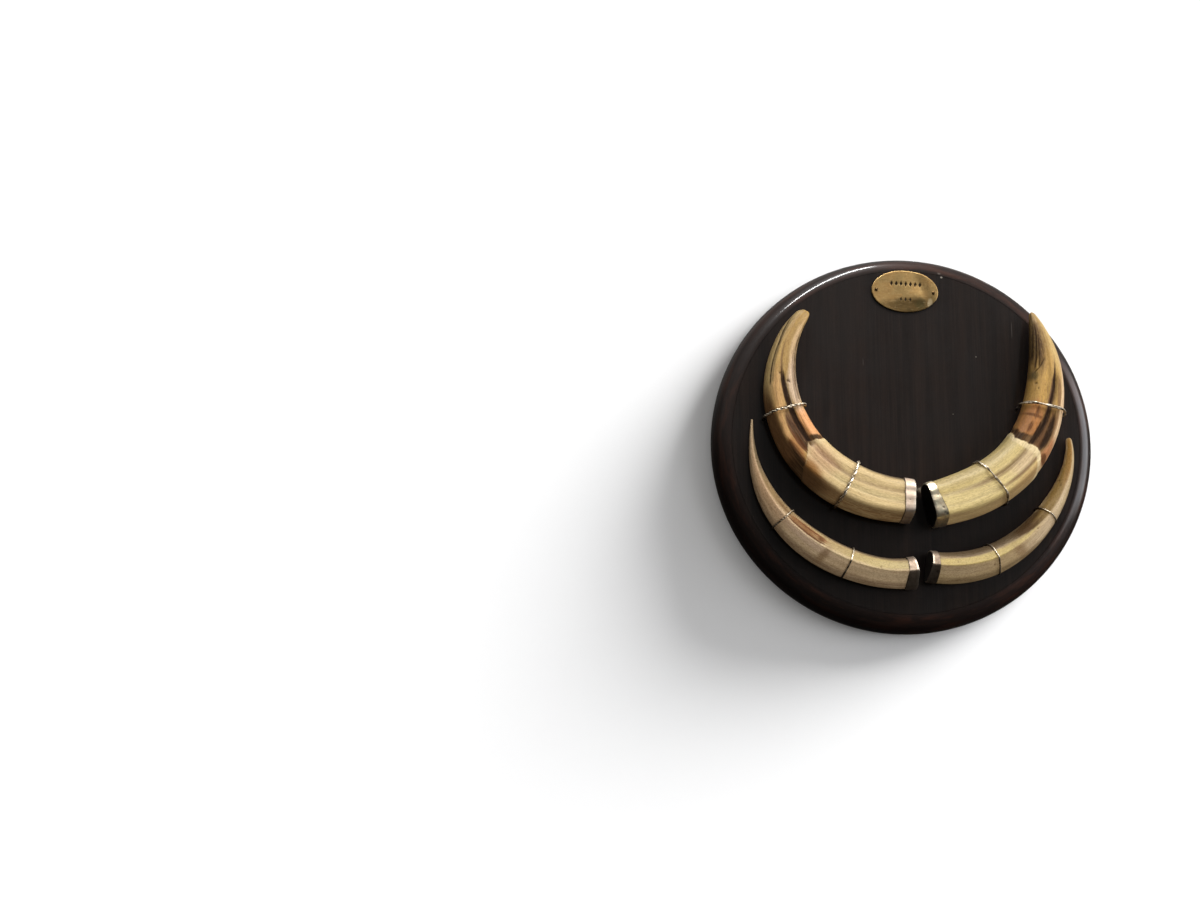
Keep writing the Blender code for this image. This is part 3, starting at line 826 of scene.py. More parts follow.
# Tint, then place along and across, half length and half width, strength, softness and streaks.
# Each stain is laid over those before it.
STAINS = {
    "upper_left": (
        Stain(CREAM, 40, 0.10, 60, 0.14, 0.6, 0.6, 0.3),
        Stain(GREY_STAIN_AND_SHADE, 0, -1.02, 60, 0.16, 0.85, 0.6),
        Stain(BROWN, 78, 0.66, 20, 0.16, 0.7, 0.7),
        Stain(BROWN, 84, -0.30, 20, 0.12, 0.55, 0.8, 0.5),
        Stain((0.60, 0.35, 0.20), 84, -0.10, 14, 0.50, 0.6, 0.7),
        Stain((0.30, 0.13, 0.03), 85, 0.52, 9, 0.26, 0.85, 0.6),
        Stain((0.07, 0.035, 0.015), 82, 0.84, 14, 0.22, 0.8, 0.6),
        Stain((0.66, 0.43, 0.18), 168, 0.72, 28, 0.24, 0.9),
        Stain(PALE, 196, 0.84, 42, 0.32, 0.9),
        Stain((0.60, 0.41, 0.22), 190, -0.66, 26, 0.30, 0.85, 0.6),
        Stain(GOLD, 194, 0.0, 32, 0.24, 0.75, 0.8, 0.4),
        Stain(BROWN, 168, 0.06, 22, 0.08, 0.6, 0.4, 0.4, lean=0.006),
        Stain((0.62, 0.36, 0.14), 148, 0.32, 20, 0.28, 0.85, 0.5),
        Stain(PEACH, 115, -0.70, 19, 0.42, 0.97, 0.3),
        Stain(ORANGE, 118, -0.44, 17, 0.10, 0.8, 0.4, 0.6),
        Stain((0.74, 0.42, 0.17), 119, 0.50, 18, 0.16, 0.9, 0.4),
        Stain(ORANGE, 103, 0.46, 9, 0.30, 0.9, 0.4, 0.4),
        Stain(RED_BROWN, 9, 0.60, 10, 0.20, 0.9, 0.4, 0.4, from_gum=True),
        Stain(SOOT, 8, 0.80, 15, 0.26, 0.97, 0.5, 0.2, from_gum=True),
        Stain((0.10, 0.048, 0.020), 122, 0.86, 26, 0.22, 0.88, 0.5, 0.3),
        Stain((0.11, 0.055, 0.036), 113, 0.02, 19, 0.24, 0.93, 0.4, 0.4, lean=0.002),
        Stain(RED_BROWN, 110, 0.22, 15, 0.06, 0.97, 0.4, 0.2, lean=0.003),
        Stain(RED_BROWN, 104, 0.10, 9, 0.05, 0.9, 0.4, 0.3),
        Stain(SOOT, 2.5, -0.56, 3.4, 0.42, 0.93, 0.5, 0.3, from_gum=True),
        Stain(RED_BROWN, 116, -0.22, 22, 0.14, 0.9, 0.4, lean=0.003),
        Stain(SOOT, 120, -0.22, 28, 0.12, 1.0, 0.3, lean=0.001),
        Stain(SOOT, 149, -0.12, 19, 0.13, 1.0, 0.4, lean=0.006),
        Stain(PINK, 154, -0.66, 24, 0.34, 0.9),
        Stain(GREY_STAIN_AND_SHADE, 184, -0.92, 36, 0.12, 0.6, 0.4, 0.95),
        Stain(BROWN, 158, -0.80, 18, 0.05, 0.6, 0.4, 0.6),
        Stain(SOOT, 91, 0.84, 6, 0.22, 0.7, 0.7, 0.5),
    ),
    "upper_right": (
        Stain(CREAM, 42, -0.66, 60, 0.22, 0.6, 0.6),
        Stain((0.76, 0.61, 0.29), 22, 0.18, 46, 0.40, 0.8, 0.6),
        Stain(BROWN, 78, 0.36, 22, 0.07, 0.7, 0.7, 0.4),
        Stain(BROWN, 66, -0.16, 32, 0.10, 0.5, 0.8, 0.5),
        Stain(PINK, 82, 0.10, 14, 0.22, 0.6, 0.6),
        Stain((0.52, 0.32, 0.13), 80, 0.66, 18, 0.20, 0.7, 0.6),
        Stain((0.42, 0.17, 0.045), 116, -0.55, 20, 0.52, 0.97, 0.3),
        Stain(ORANGE, 112, -0.84, 14, 0.10, 0.8, 0.4, 0.5),
        Stain(RED_BROWN, 122, -0.55, 1.4, 0.34, 0.7, 0.7),
        Stain(RED_BROWN, 110, -0.50, 5, 0.09, 0.8, 0.6),
        Stain(RED_BROWN, 126, -0.42, 6, 0.08, 0.8, 0.6),
        # painted light from the right on the outer flank
        Stain((0.82, 0.58, 0.34), 132, 0.82, 34, 0.26, 0.95, 0.3),
        Stain((0.50, 0.19, 0.07), 100, 0.68, 10, 0.30, 0.92, 0.4, 0.4),
        Stain(RED_BROWN, 94, 0.74, 3, 0.24, 0.8),
        Stain((0.86, 0.70, 0.40), -2.6, 0.0, 2.4, 1.3, 0.75, from_gum=True),
        Stain(SOOT, 2.8, -0.62, 4.8, 0.46, 0.97, 0.4, 0.2, from_gum=True),
        Stain(BROWN, 3.5, -0.05, 4, 0.30, 0.85, 0.6, from_gum=True),
        Stain(BROWN, 116, 0.46, 18, 0.12, 0.8, 0.5, 0.4),
        Stain((0.11, 0.045, 0.018), 112, 0.18, 19, 0.26, 0.88, 0.4, 0.3),
        Stain(SOOT, 110, 0.32, 15, 0.12, 0.95, 0.4, 0.3),
        Stain(SOOT, 114, -0.07, 19, 0.13, 1.0, 0.35, lean=0.006),
        Stain(PLUM, 142, 0.06, 14, 0.12, 0.9, 0.4, 0.4, lean=0.006),
        Stain(SOOT, 150, 0.15, 20, 0.05, 0.97, lean=0.0075),
        Stain(BROWN, 146, 0.46, 14, 0.10, 0.6, 0.4, 0.4),
        Stain(PALE, 196, 0.60, 30, 0.34, 0.8, 0.5),
        Stain(GOLD, 200, 0.20, 16, 0.22, 0.8, 0.6, 0.3),
        Stain((0.05, 0.026, 0.01), 190, -0.36, 22, 0.24, 0.9, 0.6, 0.4, lean=0.004),
        Stain((0.07, 0.045, 0.016), 196, -0.82, 26, 0.30, 0.93, 0.5, 0.3, lean=0.006),
        Stain((0.06, 0.055, 0.026), 160, -0.84, 4.0, 0.15, 0.75, 0.7, 0.4),
    ),
    "lower_left": (
        Stain((0.54, 0.43, 0.17), 30, -0.44, 40, 0.34, 0.85),
        Stain((0.38, 0.27, 0.10), 84, -0.50, 40, 0.34, 0.7, 0.6),
        Stain((0.60, 0.47, 0.26), 66, -0.08, 50, 0.09, 0.7, 0.6, 0.3),
        Stain((0.50, 0.38, 0.23), 18, 0.28, 26, 0.26, 0.7, 0.7),
        Stain((0.70, 0.51, 0.35), 98, 0.14, 26, 0.22, 0.8, 0.6),
        Stain((0.54, 0.34, 0.19), 150, 0.20, 34, 0.50, 0.8, 0.7),
        Stain((0.28, 0.18, 0.07), 142, -0.52, 34, 0.30, 0.7, 0.6, 0.3),
        Stain((0.24, 0.18, 0.10), 178, -0.66, 18, 0.36, 0.7, 0.7),
        Stain((0.27, 0.115, 0.035), 99, -0.44, 19, 0.22, 0.95, 0.25, 0.4),
        Stain(RED_BROWN, 99, -0.22, 19, 0.05, 0.9, 0.4),
        Stain(RED_BROWN, 84, -0.45, 3, 0.14, 0.45, 0.6),
        Stain(RED_BROWN, 98, -0.56, 12, 0.04, 0.7, 0.6),
        Stain(BROWN, 76, 0.34, 3.0, 0.44, 0.42, 0.7, lean=0.05),
        Stain(BROWN, 126, -0.50, 8, 0.12, 0.6, 0.7),
        # painted shadow from the upper left tusk along this tusk's upper edge
        Stain(GREY_STAIN_AND_SHADE, 70, -1.02, 90, 0.20, 0.9, 0.6),
    ),
    "lower_right": (
        Stain((0.56, 0.43, 0.15), 40, -0.26, 56, 0.24, 0.9, 0.3),
        Stain((0.44, 0.33, 0.20), 20, 0.30, 30, 0.26, 0.6, 0.7),
        Stain((0.60, 0.46, 0.29), 112, 0.42, 36, 0.44, 0.85),
        Stain((0.56, 0.42, 0.24), 96, 0.02, 20, 0.10, 0.7, 0.6),
        # painted shadow from the upper right tusk along this tusk's upper edge
        Stain(GREY_STAIN_AND_SHADE, 40, -0.86, 60, 0.28, 0.93, 0.4, 0.2),
        Stain((0.055, 0.030, 0.012), 98, -0.66, 19, 0.32, 0.97, 0.4, 0.3),
        Stain((0.070, 0.036, 0.012), 104, -0.42, 18, 0.18, 0.95, 0.4, 0.4, lean=0.006),
        Stain(BROWN, 74, 0.30, 5, 0.44, 0.35, 0.7, lean=0.05),
        Stain((0.26, 0.165, 0.045), 142, -0.50, 34, 0.40, 0.9, 0.5),
        Stain((0.29, 0.16, 0.035), 168, -0.20, 22, 0.46, 0.9, 0.5),
        Stain((0.52, 0.39, 0.20), 152, 0.56, 34, 0.34, 0.7),
    ),
}
print("stains:", sum(len(stains) for stains in STAINS.values()))


# %% Cook the ivory
def ivory(name, kind, seed):
    made, r, shader = new_finish(f"{name} ivory", Roughness=0.42, IOR=1.33)
    station, straight = r.attribute("station", "Vector"), r.attribute("straight", "Vector")
    past_gum, dirt = r.attribute("past_gum"), r.attribute("dirt")
    _, across, _ = r.split(station)
    from_gum = r.vector(past_gum, across)
    beyond = r.fit(past_gum, -0.6, 1.0)
    before = 1.0 - beyond

    grain = r.moved(straight, (37.0 * seed, 11.0 * seed, 5.0 * seed))
    broad = r.effect(STREAKS, grain, 70.0, 4.5, 0.30, 0.72)
    fine = r.effect(STREAKS, grain, 30.0, 0.8, 0.36, 0.66)
    mottle = r.fit(r.noise(r.scaled(grain, (0.35, 0.6, 0.6)), 1.0, detail=4.0), 0.32, 0.68)
    wander = r.noise(r.scaled(grain, (0.10, 0.25, 0.25)), 1.0, detail=5.0, roughness=0.65)
    wander = wander * 0.72 + fine * 0.28

    pale, deep, flank = (r.mix(beyond, near, far) for near, far in zip(*BODIES[name]))
    tint = r.mix(broad * 0.6 + mottle * 0.35, pale, deep)
    if kind == "upper":
        tint = r.mix(r.fit(past_gum, -6.0, -1.5) * before * 0.45, tint, SLEEVE)
    # the outer flank: part brown stain, part painted shade where it faces down away from the key, and
    # painted light on the upper right tusk past the gum line
    tint = r.mix(r.fit(across, 0.52, 0.80) * r.fit(wander, 0.3, 0.6, 0.6, 0.95), tint, flank)
    for stain in STAINS[name]:
        mask = stain.strength * r.effect(
            STAIN, from_gum if stain.from_gum else station, wander, stain.along, stain.across,
            stain.half_length, stain.half_width, stain.lean, STAIN_FRAY, stain.softness,
        )
        if stain.tint[0] < DARK_PIGMENT:  # a thin dark stain hides more than a thin pale one
            mask = mask * (2.0 - mask)
        if stain.streaky:
            mask = mask * r.math("MINIMUM", fine * 1.3 + (1 - stain.streaky), 1.0)
        if kind == "upper":
            past = stain.along > (0 if stain.from_gum else GUM)
            mask = mask * (beyond if past else before)
        tint = r.mix(mask, tint, stain.tint)

    tint = r.mix(fine * (beyond * 0.14 + 0.20), tint, THREAD)
    broken = r.fit(r.noise(r.scaled(grain, (0.25, 1.0, 1.0)), 1.0), 0.25, 0.5, 0.55, 1.0)
    tint = r.mix(dirt * broken, tint, r.mix(beyond, ROOT_DIRT, TIP_DIRT))
    pores = r.fit(r.cells(r.scaled(grain, (0.5, 0.9, 0.9)), 1.0), 0.16, 0.06)
    specks = pores * r.fit(r.noise(grain, 0.35), 0.52, 0.68)
    flaws = r.math("MAXIMUM", r.effect(HAIRLINES, grain, 42.0, 4.0, 0.04) * 0.3, specks * 0.5)
    tint = r.mix(flaws, tint, FLAW)
    shape, share = ((0.45, 1.3, 1.3), 0.5) if kind == "upper" else ((0.8, 1.2, 1.2), 0.7)
    speckle = r.fit(r.noise(r.scaled(grain, shape), 1.0, detail=4.0, roughness=0.7), 0.42, 0.66)
    tint = r.mix(speckle * share, tint, SPECKLE, "MULTIPLY")
    brightness = r.value(r.node("RGBToBW", tint))
    relief = fine * -0.35 - flaws * 0.8 - speckle * 0.3 + mottle * 0.25
    r.fill(
        shader, Base_Color=tint, Roughness=broad * 0.12 + dirt * 0.3 + 0.42,
        Specular_IOR_Level=r.fit(brightness, 0.02, 0.25, 0.10, 0.5), Normal=r.bump(relief, 0.16),
    )
    return made


# %% [markdown]
# ## Model the tusks
# The cage of each tusk is a ring of about fifty points, extruded some fifty times. Two levels of
# subdivision turn it into a surface fine enough to hold a one-millimetre groove, and then the relief
# is carved. The station of every point is kept as an attribute from the start, so that it passes
# through the subdivision with the surface.

# %% Build four tusks
RING_COUNT = 56
TIP_ANGLES = (18, 35, 50, 63, 74, 83)
TIP_ROUNDING = 0.6


def ring_places(mesh):
    """For every vertex, its place in the ring it was extruded with, and that ring's number."""
    return (np.array([entry.value for entry in mesh.attributes[name].data]) for name in ("number", "row"))


def tusk_body(name, tusk, seed):
    rounded = TIP_ROUNDING * tusk.widths[-1]
    straight_length = tusk.length - rounded
    rings = [section_ring(tusk, along) for along in np.linspace(0, straight_length, RING_COUNT)]
    for angle in np.radians(TIP_ANGLES):
        rings.append(section_ring(tusk, straight_length + rounded * math.sin(angle), math.cos(angle)))
    piece = skin(f"{name}_ivory", [ring[0] for ring in rings], pointed=True)
    number, row = ring_places(piece.data)
    for column, label in ((1, "station"), (2, "straight")):
        set_attribute(piece.data, label, np.array([rings[j][column][i] for i, j in zip(number, row)]))
    add_modifier(piece, "SUBSURF", levels=2, render_levels=2)
    carve_tusk(piece, name, seed)
    smooth(piece, 60)
    return piece


for seed, (name, tusk) in enumerate(TUSKS.items(), start=1):
    piece = tusk_body(name, tusk, seed)
    dress(piece, ivory(name, tusk.kind, seed), f"{name}_tusk")

# %% [markdown]
# ## Silver root caps
# A cap is a strip and an end plate of thin silver sheet, pressed by hand over the root, so it half
# follows the flutes and shows dents and nicks. It is modelled from its free edge backwards: over the
# root, round the corner and in to the middle of the end plate. The dents are pushed in while it is
# still a single skin, and Solidify then gives the sheet its thickness. The corner is painted lighter,
# a painted highlight where the sheet turns to the light. The end plates and the foot are painted near
# black, painted shade with some tarnish, and a thin dark line along the free edge is a painted shadow.


# %% Silver and its tarnish
class Sheet(NamedTuple):
    bright: tuple
    dull: tuple
    roughness: float


SHEETS = {
    "upper_left": Sheet((0.70, 0.57, 0.45), (0.58, 0.45, 0.34), 0.58),
    "upper_right": Sheet((0.95, 0.87, 0.64), (0.78, 0.63, 0.43), 0.44),
    "lower_left": Sheet((0.36, 0.28, 0.21), (0.25, 0.19, 0.14), 0.62),
    "lower_right": Sheet((0.30, 0.23, 0.17), (0.20, 0.15, 0.11), 0.62),
}
GLINT = {"upper": 0.4, "lower": 0.2}  # how far the painted corner highlight goes to its bright colour
# painted highlight on the corner; painted shade with tarnish on the end plates and foot; dirt in the
# nicks and a painted shadow line at the free edge
CORNER_HIGHLIGHT, TARNISH_AND_SHADE, DIRT_AND_EDGE_SHADOW = (0.90, 0.82, 0.68), (0.030, 0.025, 0.021), (0.012, 0.008, 0.006)


def silver(name, kind):
    sheet = SHEETS[name]
    made, r, shader = new_finish(f"{name} silver", Metallic=1.0, Roughness=sheet.roughness)
    place, worn = r.millimetres(), r.attribute("worn")
    cloud = r.noise(place, 0.2, detail=5.0, roughness=0.65)
    tint = r.mix(r.fit(cloud, 0.35, 0.65), sheet.bright, sheet.dull)
    specks = r.fit(r.noise(place, 1.1, detail=2.0), 0.66, 0.74)
    tint = r.mix(specks * 0.6, tint, (0.08, 0.06, 0.045))
    # painted highlight along the corner
    tint = r.mix(worn * GLINT[kind], tint, CORNER_HIGHLIGHT)
    # painted shade with tarnish on the end plate and the foot
    tint = r.mix(r.fit(r.attribute("shade_and_tarnish") + cloud * 0.3, 0.35, 0.75), tint, TARNISH_AND_SHADE)
    # dirt in the nicks, and a painted shadow line along the free edge
    tint = r.mix(r.math("MAXIMUM", r.attribute("dirt"), r.attribute("edge")), tint, DIRT_AND_EDGE_SHADOW)
    dents = r.noise(place, 0.45, detail=2.0) + r.noise(place, 2.2) * 0.2
    roughness = cloud * 0.2 + (sheet.roughness - 0.1) - worn * 0.15
    r.fill(shader, Base_Color=tint, Roughness=roughness, Normal=r.bump(dents, 0.09))
    return made


# %% Press the caps
CAP_METAL = 0.5
CAP_TIGHTNESS = 0.6  # 0 follows every flute, 1 bridges them all
CAP_DENT, CAP_RIPPLE, NICK_DEPTH = 0.10, 0.05, 0.4
UP_THE_TUSK = (1.0, 0.94, 0.8, 0.6, 0.4, 0.2, 0.0)  # shares of the cap's reach, from its free edge
ROUND_THE_CORNER = ((0.5, 0.0), (0.76, 0.12), (0.8, 0.4))  # (behind the root, in from the outside)
ACROSS_THE_END = (0.93, 0.8, 0.65, 0.5, 0.35, 0.2)
CORNER_ROWS = (5, 9)  # rings of the skin on either side of the corner
NICKS = {  # (distance behind the free edge, across, radius)
    "upper_left": ((3.6, 0.06, 0.45),),
    "upper_right": (
        (3.8, -0.66, 1.1), (2.0, -0.30, 0.45), (2.4, 0.30, 0.6), (3.0, 0.50, 0.6), (1.4, 0.56, 0.55),
    ),
    "lower_left": (),
    "lower_right": ((2.4, 0.3, 0.45),),
}


def cap_reach(tusk, across):
    """How far the cap comes up the tusk, from the hollow side to the outer side."""
    return tusk.collar[0] + (tusk.collar[1] - tusk.collar[0]) * ease(-0.8, 0.8, across)


def cap_rings(tusk):
    """Rings from the free edge back to the corner and in over the end plate, as (points, station)."""
    outside = GAP + CAP_METAL
    _, plan, _ = section_ring(tusk, 0.0)
    reach = cap_reach(tusk, plan[:, 1])
    rings = []
    for share in UP_THE_TUSK:
        at_each = [
            section_ring(tusk, up, outset=outside, tightness=CAP_TIGHTNESS)[0] for up in reach * share
        ]
        points = np.array([ring[i] for i, ring in enumerate(at_each)])
        rings.append((points, np.column_stack((reach * share, plan[:, 1:]))))
    for back, inwards in ROUND_THE_CORNER:
        rings.append(section_ring(tusk, -back, outset=outside - inwards, tightness=CAP_TIGHTNESS)[:2])
    for fullness in ACROSS_THE_END:
        points, station, _ = section_ring(tusk, -0.8, fullness, tightness=CAP_TIGHTNESS)
        rings.append((points, station * (1, fullness, 1)))
    return rings


def cap(name, tusk, seed):
    rings = cap_rings(tusk)
    piece = skin(f"{name}_silver_cap", [ring[0] for ring in rings], start_filled=False, pointed=True)
    number, row = ring_places(piece.data)
    station = np.array([rings[j][1][i] for i, j in zip(number, row)])
    corner = (row > CORNER_ROWS[0]) & (row < CORNER_ROWS[1])
    foot = np.clip(0.6 - 2.2 * station[:, 2], 0, 0.6)
    set_attribute(piece.data, "station", station)
    # painted shade on the end plate and towards the back, with tarnish
    set_attribute(piece.data, "shade_and_tarnish", np.where(row > CORNER_ROWS[1], 1.0, foot))
    # painted highlight along the corner, stronger towards the front where the light falls
    set_attribute(piece.data, "worn", corner * np.clip(station[:, 2] * 2 - 0.6, 0, 1))
    # painted shadow along the free edge
    set_attribute(piece.data, "edge", (row == 0) * 1.0)
    add_modifier(piece, "SUBSURF", levels=1, render_levels=1)
    station = mesh_array(piece.data.attributes["station"].data, "vector", 3)
    places = mesh_array(piece.data.vertices, "co", 3) / MM
    height = CAP_DENT * np.minimum(rough(places, 5.0, seed), 0.2)
    height = height + CAP_RIPPLE * rough(places, 2.0, seed + 1)
    dirt = np.zeros(len(station))
    half_width = through_stations(tusk.widths, 0) / 2
    for behind, across, radius in NICKS[name]:
        share = pit_share(station, half_width, cap_reach(tusk, across) - behind, across, radius, 0.4)
        height -= NICK_DEPTH * share
        dirt = np.maximum(dirt, share)
    push(piece, height)
    set_attribute(piece.data, "dirt", dirt)
    add_modifier(piece, "SOLIDIFY", thickness=CAP_METAL * MM, offset=-1.0)
    smooth(piece, 40)
    return piece


for seed, (name, tusk) in enumerate(TUSKS.items(), start=11):
    dress(cap(name, tusk, seed), silver(name, tusk.kind), f"{name}_cap")

# %% [markdown]
# ## Binding wires
# Each tusk is held by two turns of soft wire that come out of the plaque, cross the tusk and go back
# in. Some are two strands twisted together. A strand is a ten-sided ring extruded along a helix about
# the binding's own line. A taut wire touches only the ridges, so the line follows the tusk's section
# with its hollows bridged, and wraps round both flanks before it turns down to the board.


# %% Route and twist the strands
WIRE_SEAT = 0.1  # between the tusk's plain section and the wire, in mm
WIRE_STEPS, WIRE_STEP = 12, 0.7  # points to a span of the section, and mm between points going down
WIRE_BURIED = 6.0  # how deep the ends go into the board
BEND_SOFTENING = 10
STRAND_SIDES = 10
STRAND_SWING = 0.86  # how far a strand lies off the middle, in radii: less than 1 where they are pressed


def wire_radius(binding):
    return binding.strand_diameter * (1.0 if binding.strands > 1 else 0.5)


def binding_line(tusk, binding):
    """Points of the binding's middle line in mm, from inside the board, over the tusk and back in."""
    outset = WIRE_SEAT + wire_radius(binding)
    ring, station, _ = section_ring(tusk, binding.along, outset=outset, steps=WIRE_STEPS, tightness=1.0)
    _, heading = centre_line(tusk, binding.along)
    ring += np.outer(binding.skew * station[:, 1] / 2, (math.cos(heading), 0, math.sin(heading)))
    first, last = (round(end * WIRE_STEPS) for end in WIRE_ENDS[tusk.kind])
    over = ring[first : last + 1]
    bottom = -(FACE_HEIGHT - WIRE_BURIED)
    start, end = (
        [(x, y, z) for y in np.arange(bottom, turn, -WIRE_STEP)] for x, turn, z in (over[0], over[-1])
    )
    line = np.array([*start, *over, *end[::-1]])
    for _ in range(BEND_SOFTENING):
        line[1:-1] = (line[:-2] + 2 * line[1:-1] + line[2:]) / 4
    return line


def strand(name, line, heading, binding, turn):
    """One strand: rings set square to the line and carried round it by the twist."""
    sideways = np.array((math.cos(heading), 0, math.sin(heading)))
    forward = np.gradient(line, axis=0)
    forward /= np.linalg.norm(forward, axis=1)[:, None]
    upward = np.cross(sideways, forward)
    upward /= np.linalg.norm(upward, axis=1)[:, None]
    walked = np.concatenate(([0], np.cumsum(np.linalg.norm(np.diff(line, axis=0), axis=1))))
    radius = binding.strand_diameter / 2
    swing = STRAND_SWING * radius if binding.strands > 1 else 0.0
    angles = math.tau * np.arange(STRAND_SIDES) / STRAND_SIDES
    rings = []
    for point, up, distance in zip(line, upward, walked):
        phase = math.tau * distance / binding.lay + turn
        middle = point + swing * (math.cos(phase) * up + math.sin(phase) * sideways)
        rings.append([middle + radius * (math.cos(a) * up + math.sin(a) * sideways) for a in angles])
    return skin(name, rings)


def soft_wire(name, tarnish, foot):
    """Wire metal. The tarnish runs from 0, bright nearly everywhere, to 1, dark with bright spots.
    The foot is how dark it goes where it runs down to the board: painted shade, with some tarnish."""
    made, r, shader = new_finish(name, Metallic=1.0, Roughness=0.3)
    place = r.millimetres()
    _, y, _ = r.split(place)
    cloud = r.noise(place, 0.35, detail=4.0, roughness=0.6)
    dull = r.fit(cloud, 0.56 - 0.3 * tarnish, 0.74 - 0.3 * tarnish)
    tint = r.mix(dull, (0.74, 0.65, 0.51), (0.24, 0.185, 0.12))
    # painted shade with tarnish: darker where the wire runs down to the board
    low = r.fit(y, -FACE_HEIGHT - 17.0, -FACE_HEIGHT - 9.0, 0.0, foot)
    tint = r.mix(low, tint, (0.050, 0.034, 0.022))
    bump = r.bump(r.noise(place, 3.0), 0.1)
    r.fill(shader, Base_Color=tint, Roughness=dull * 0.12 + 0.42, Normal=bump)
    return made


WIRE_TARNISH_AND_SHADE = {  # (tarnish, foot: painted shade with tarnish)
    "upper_left": (0.35, 0.95), "upper_right": (0.45, 0.6),
    "lower_left": (0.5, 0.8), "lower_right": (0.4, 0.7),
}
for name, tusk in TUSKS.items():
    metal = soft_wire(f"{name} wire", *WIRE_TARNISH_AND_SHADE[name])
    for where, binding in zip(("root", "middle"), tusk.bindings):
        line = binding_line(tusk, binding)
        _, heading = centre_line(tusk, binding.along)
        turns = [math.tau * k / binding.strands for k in range(binding.strands)]
        strands = [strand(f"strand_{k}", line, heading, binding, turn) for k, turn in enumerate(turns)]
        piece = join(f"{name}_{where}_binding", strands)
        smooth(piece, 60)
        dress(piece, metal, f"{name}_{where}_wire")

# %% [markdown]
# ## The turned plaque
# The plaque was turned on a lathe from one wide board, so its rings of shape are perfect circles but
# its grain runs straight up through everything. The profile goes from the centre of the back, round a
# small foot and up a long rounded edge, over a fine turned line, to the flat face. Holes are drilled for
# the wires and pins, and a slot is routed in the back for the hanger.


# %% Turn, drill and rout it
BOARD_RADIUS = (cad_high.x - cad_low.x) / 2 / MM
RIM_WIDTH, RIM_FALL, BACK_ROUNDING = 15.0, 21.0, 1.2
BACK_BAND = 30.0  # width of the outermost ring of faces on the flat back
QUIRK = 0.25  # the fine turned line where the round edge meets the face
BOARD_SIDES, FACE_STEPS, RIM_STEPS, DRILL_SIDES = 224, 10, 25, 24
PLATE_CENTRE, PLATE_TILT = (2.5, 127.0), math.radians(-4)
PIN_SPACING, PIN_SHANK, PIN_HOLE = 48.0, 1.4, 2.0
HANGER_HEIGHT, NAIL_SPACING = 100.0, 38.0
RECESS_WIDTH, RECESS_HEIGHT, RECESS_DEPTH = 56.0, 16.0, 3.0
WIRE_HOLE_DEPTH, PIN_HOLE_DEPTH, NAIL_HOLE_DEPTH = 8.0, 9.0, 12.0
OVERCUT = 1.0  # how far a bit reaches past the surface it starts from
WIRE_PLAY = 0.3  # between a wire and its hole


def board_profile():
    """(radius, y) in mm from the centre of the back, round the edge, to the centre of the face."""
    foot, inner = FACE_HEIGHT - RIM_FALL, BOARD_RADIUS - RIM_WIDTH
    points = [(0, 0), (BOARD_RADIUS - BACK_BAND, 0)]
    corner = BOARD_RADIUS - BACK_ROUNDING
    points += [(x, -y) for x, y in arc((corner, BACK_ROUNDING), BACK_ROUNDING, -90, 0, 5)]
    for angle in np.radians(np.linspace(0, 90, RIM_STEPS)):
        points.append((inner + RIM_WIDTH * math.cos(angle), -(foot + RIM_FALL * math.sin(angle))))
    points += [(inner - QUIRK, QUIRK - FACE_HEIGHT), (inner - 2 * QUIRK, -FACE_HEIGHT)]
    points += [(inner * (1 - step / FACE_STEPS), -FACE_HEIGHT) for step in range(1, FACE_STEPS + 1)]
    return points


def on_plate(across):
    x, z = PLATE_CENTRE
    return (x + across * math.cos(PLATE_TILT), z + across * math.sin(PLATE_TILT))


def drill(piece, places, diameter, low, high):
    """Drills round holes along Y between two heights, all in one cut."""
    bits = []
    for index, (x, z) in enumerate(places):
        bit = new_primitive(
            f"bit_{index}", bpy.ops.mesh.primitive_cylinder_add, vertices=DRILL_SIDES,
            radius=diameter / 2 * MM, depth=(high - low) * MM,
            location=(x * MM, -(low + high) / 2 * MM, z * MM), rotation=(math.pi / 2, 0, 0),
        )
        bits.append(settle(bit))
    remove_volume(piece, join("drill_bits", bits))


def rout_slot(piece):
    """Cuts the hanger's recess: a long slot with round ends."""
    half = RECESS_HEIGHT / 2
    straight = RECESS_WIDTH / 2 - half
    outline = arc((straight, HANGER_HEIGHT), half, -90, 90, 17)
    outline += arc((-straight, HANGER_HEIGHT), half, 90, 270, 17)
    rings = [[(x, y, z) for x, z in outline] for y in (OVERCUT, -RECESS_DEPTH)]
    remove_volume(piece, skin("router_bit", rings))


board = turned("turned_plaque", board_profile(), BOARD_SIDES)
for tusk in TUSKS.values():
    for binding in tusk.bindings:
        line = binding_line(tusk, binding)
        ends = [(line[k][0], line[k][2]) for k in (0, -1)]
        width = 2 * wire_radius(binding) + WIRE_PLAY
        drill(board, ends, width, FACE_HEIGHT - WIRE_HOLE_DEPTH, FACE_HEIGHT + OVERCUT)
PINS = {"left": on_plate(-PIN_SPACING / 2), "right": on_plate(PIN_SPACING / 2)}
NAILS = {"left": (NAIL_SPACING / 2, HANGER_HEIGHT), "right": (-NAIL_SPACING / 2, HANGER_HEIGHT)}
drill(board, PINS.values(), PIN_HOLE, FACE_HEIGHT - PIN_HOLE_DEPTH, FACE_HEIGHT + OVERCUT)
rout_slot(board)
drill(board, NAILS.values(), PIN_HOLE, RECESS_DEPTH - 2 * OVERCUT, NAIL_HOLE_DEPTH)
smooth(board, 35)

# %% [markdown]
# The finish is a black-brown stain under polished lacquer. On the moulded edge it has worn through to
# red-brown in long patches that follow the turning. The face shows the board's straight grain only
# as faint reddish bands and fine lines, with a few specks of old paint and a scratch. The lacquer has
# sunk a little into the pores. The back was never lacquered.


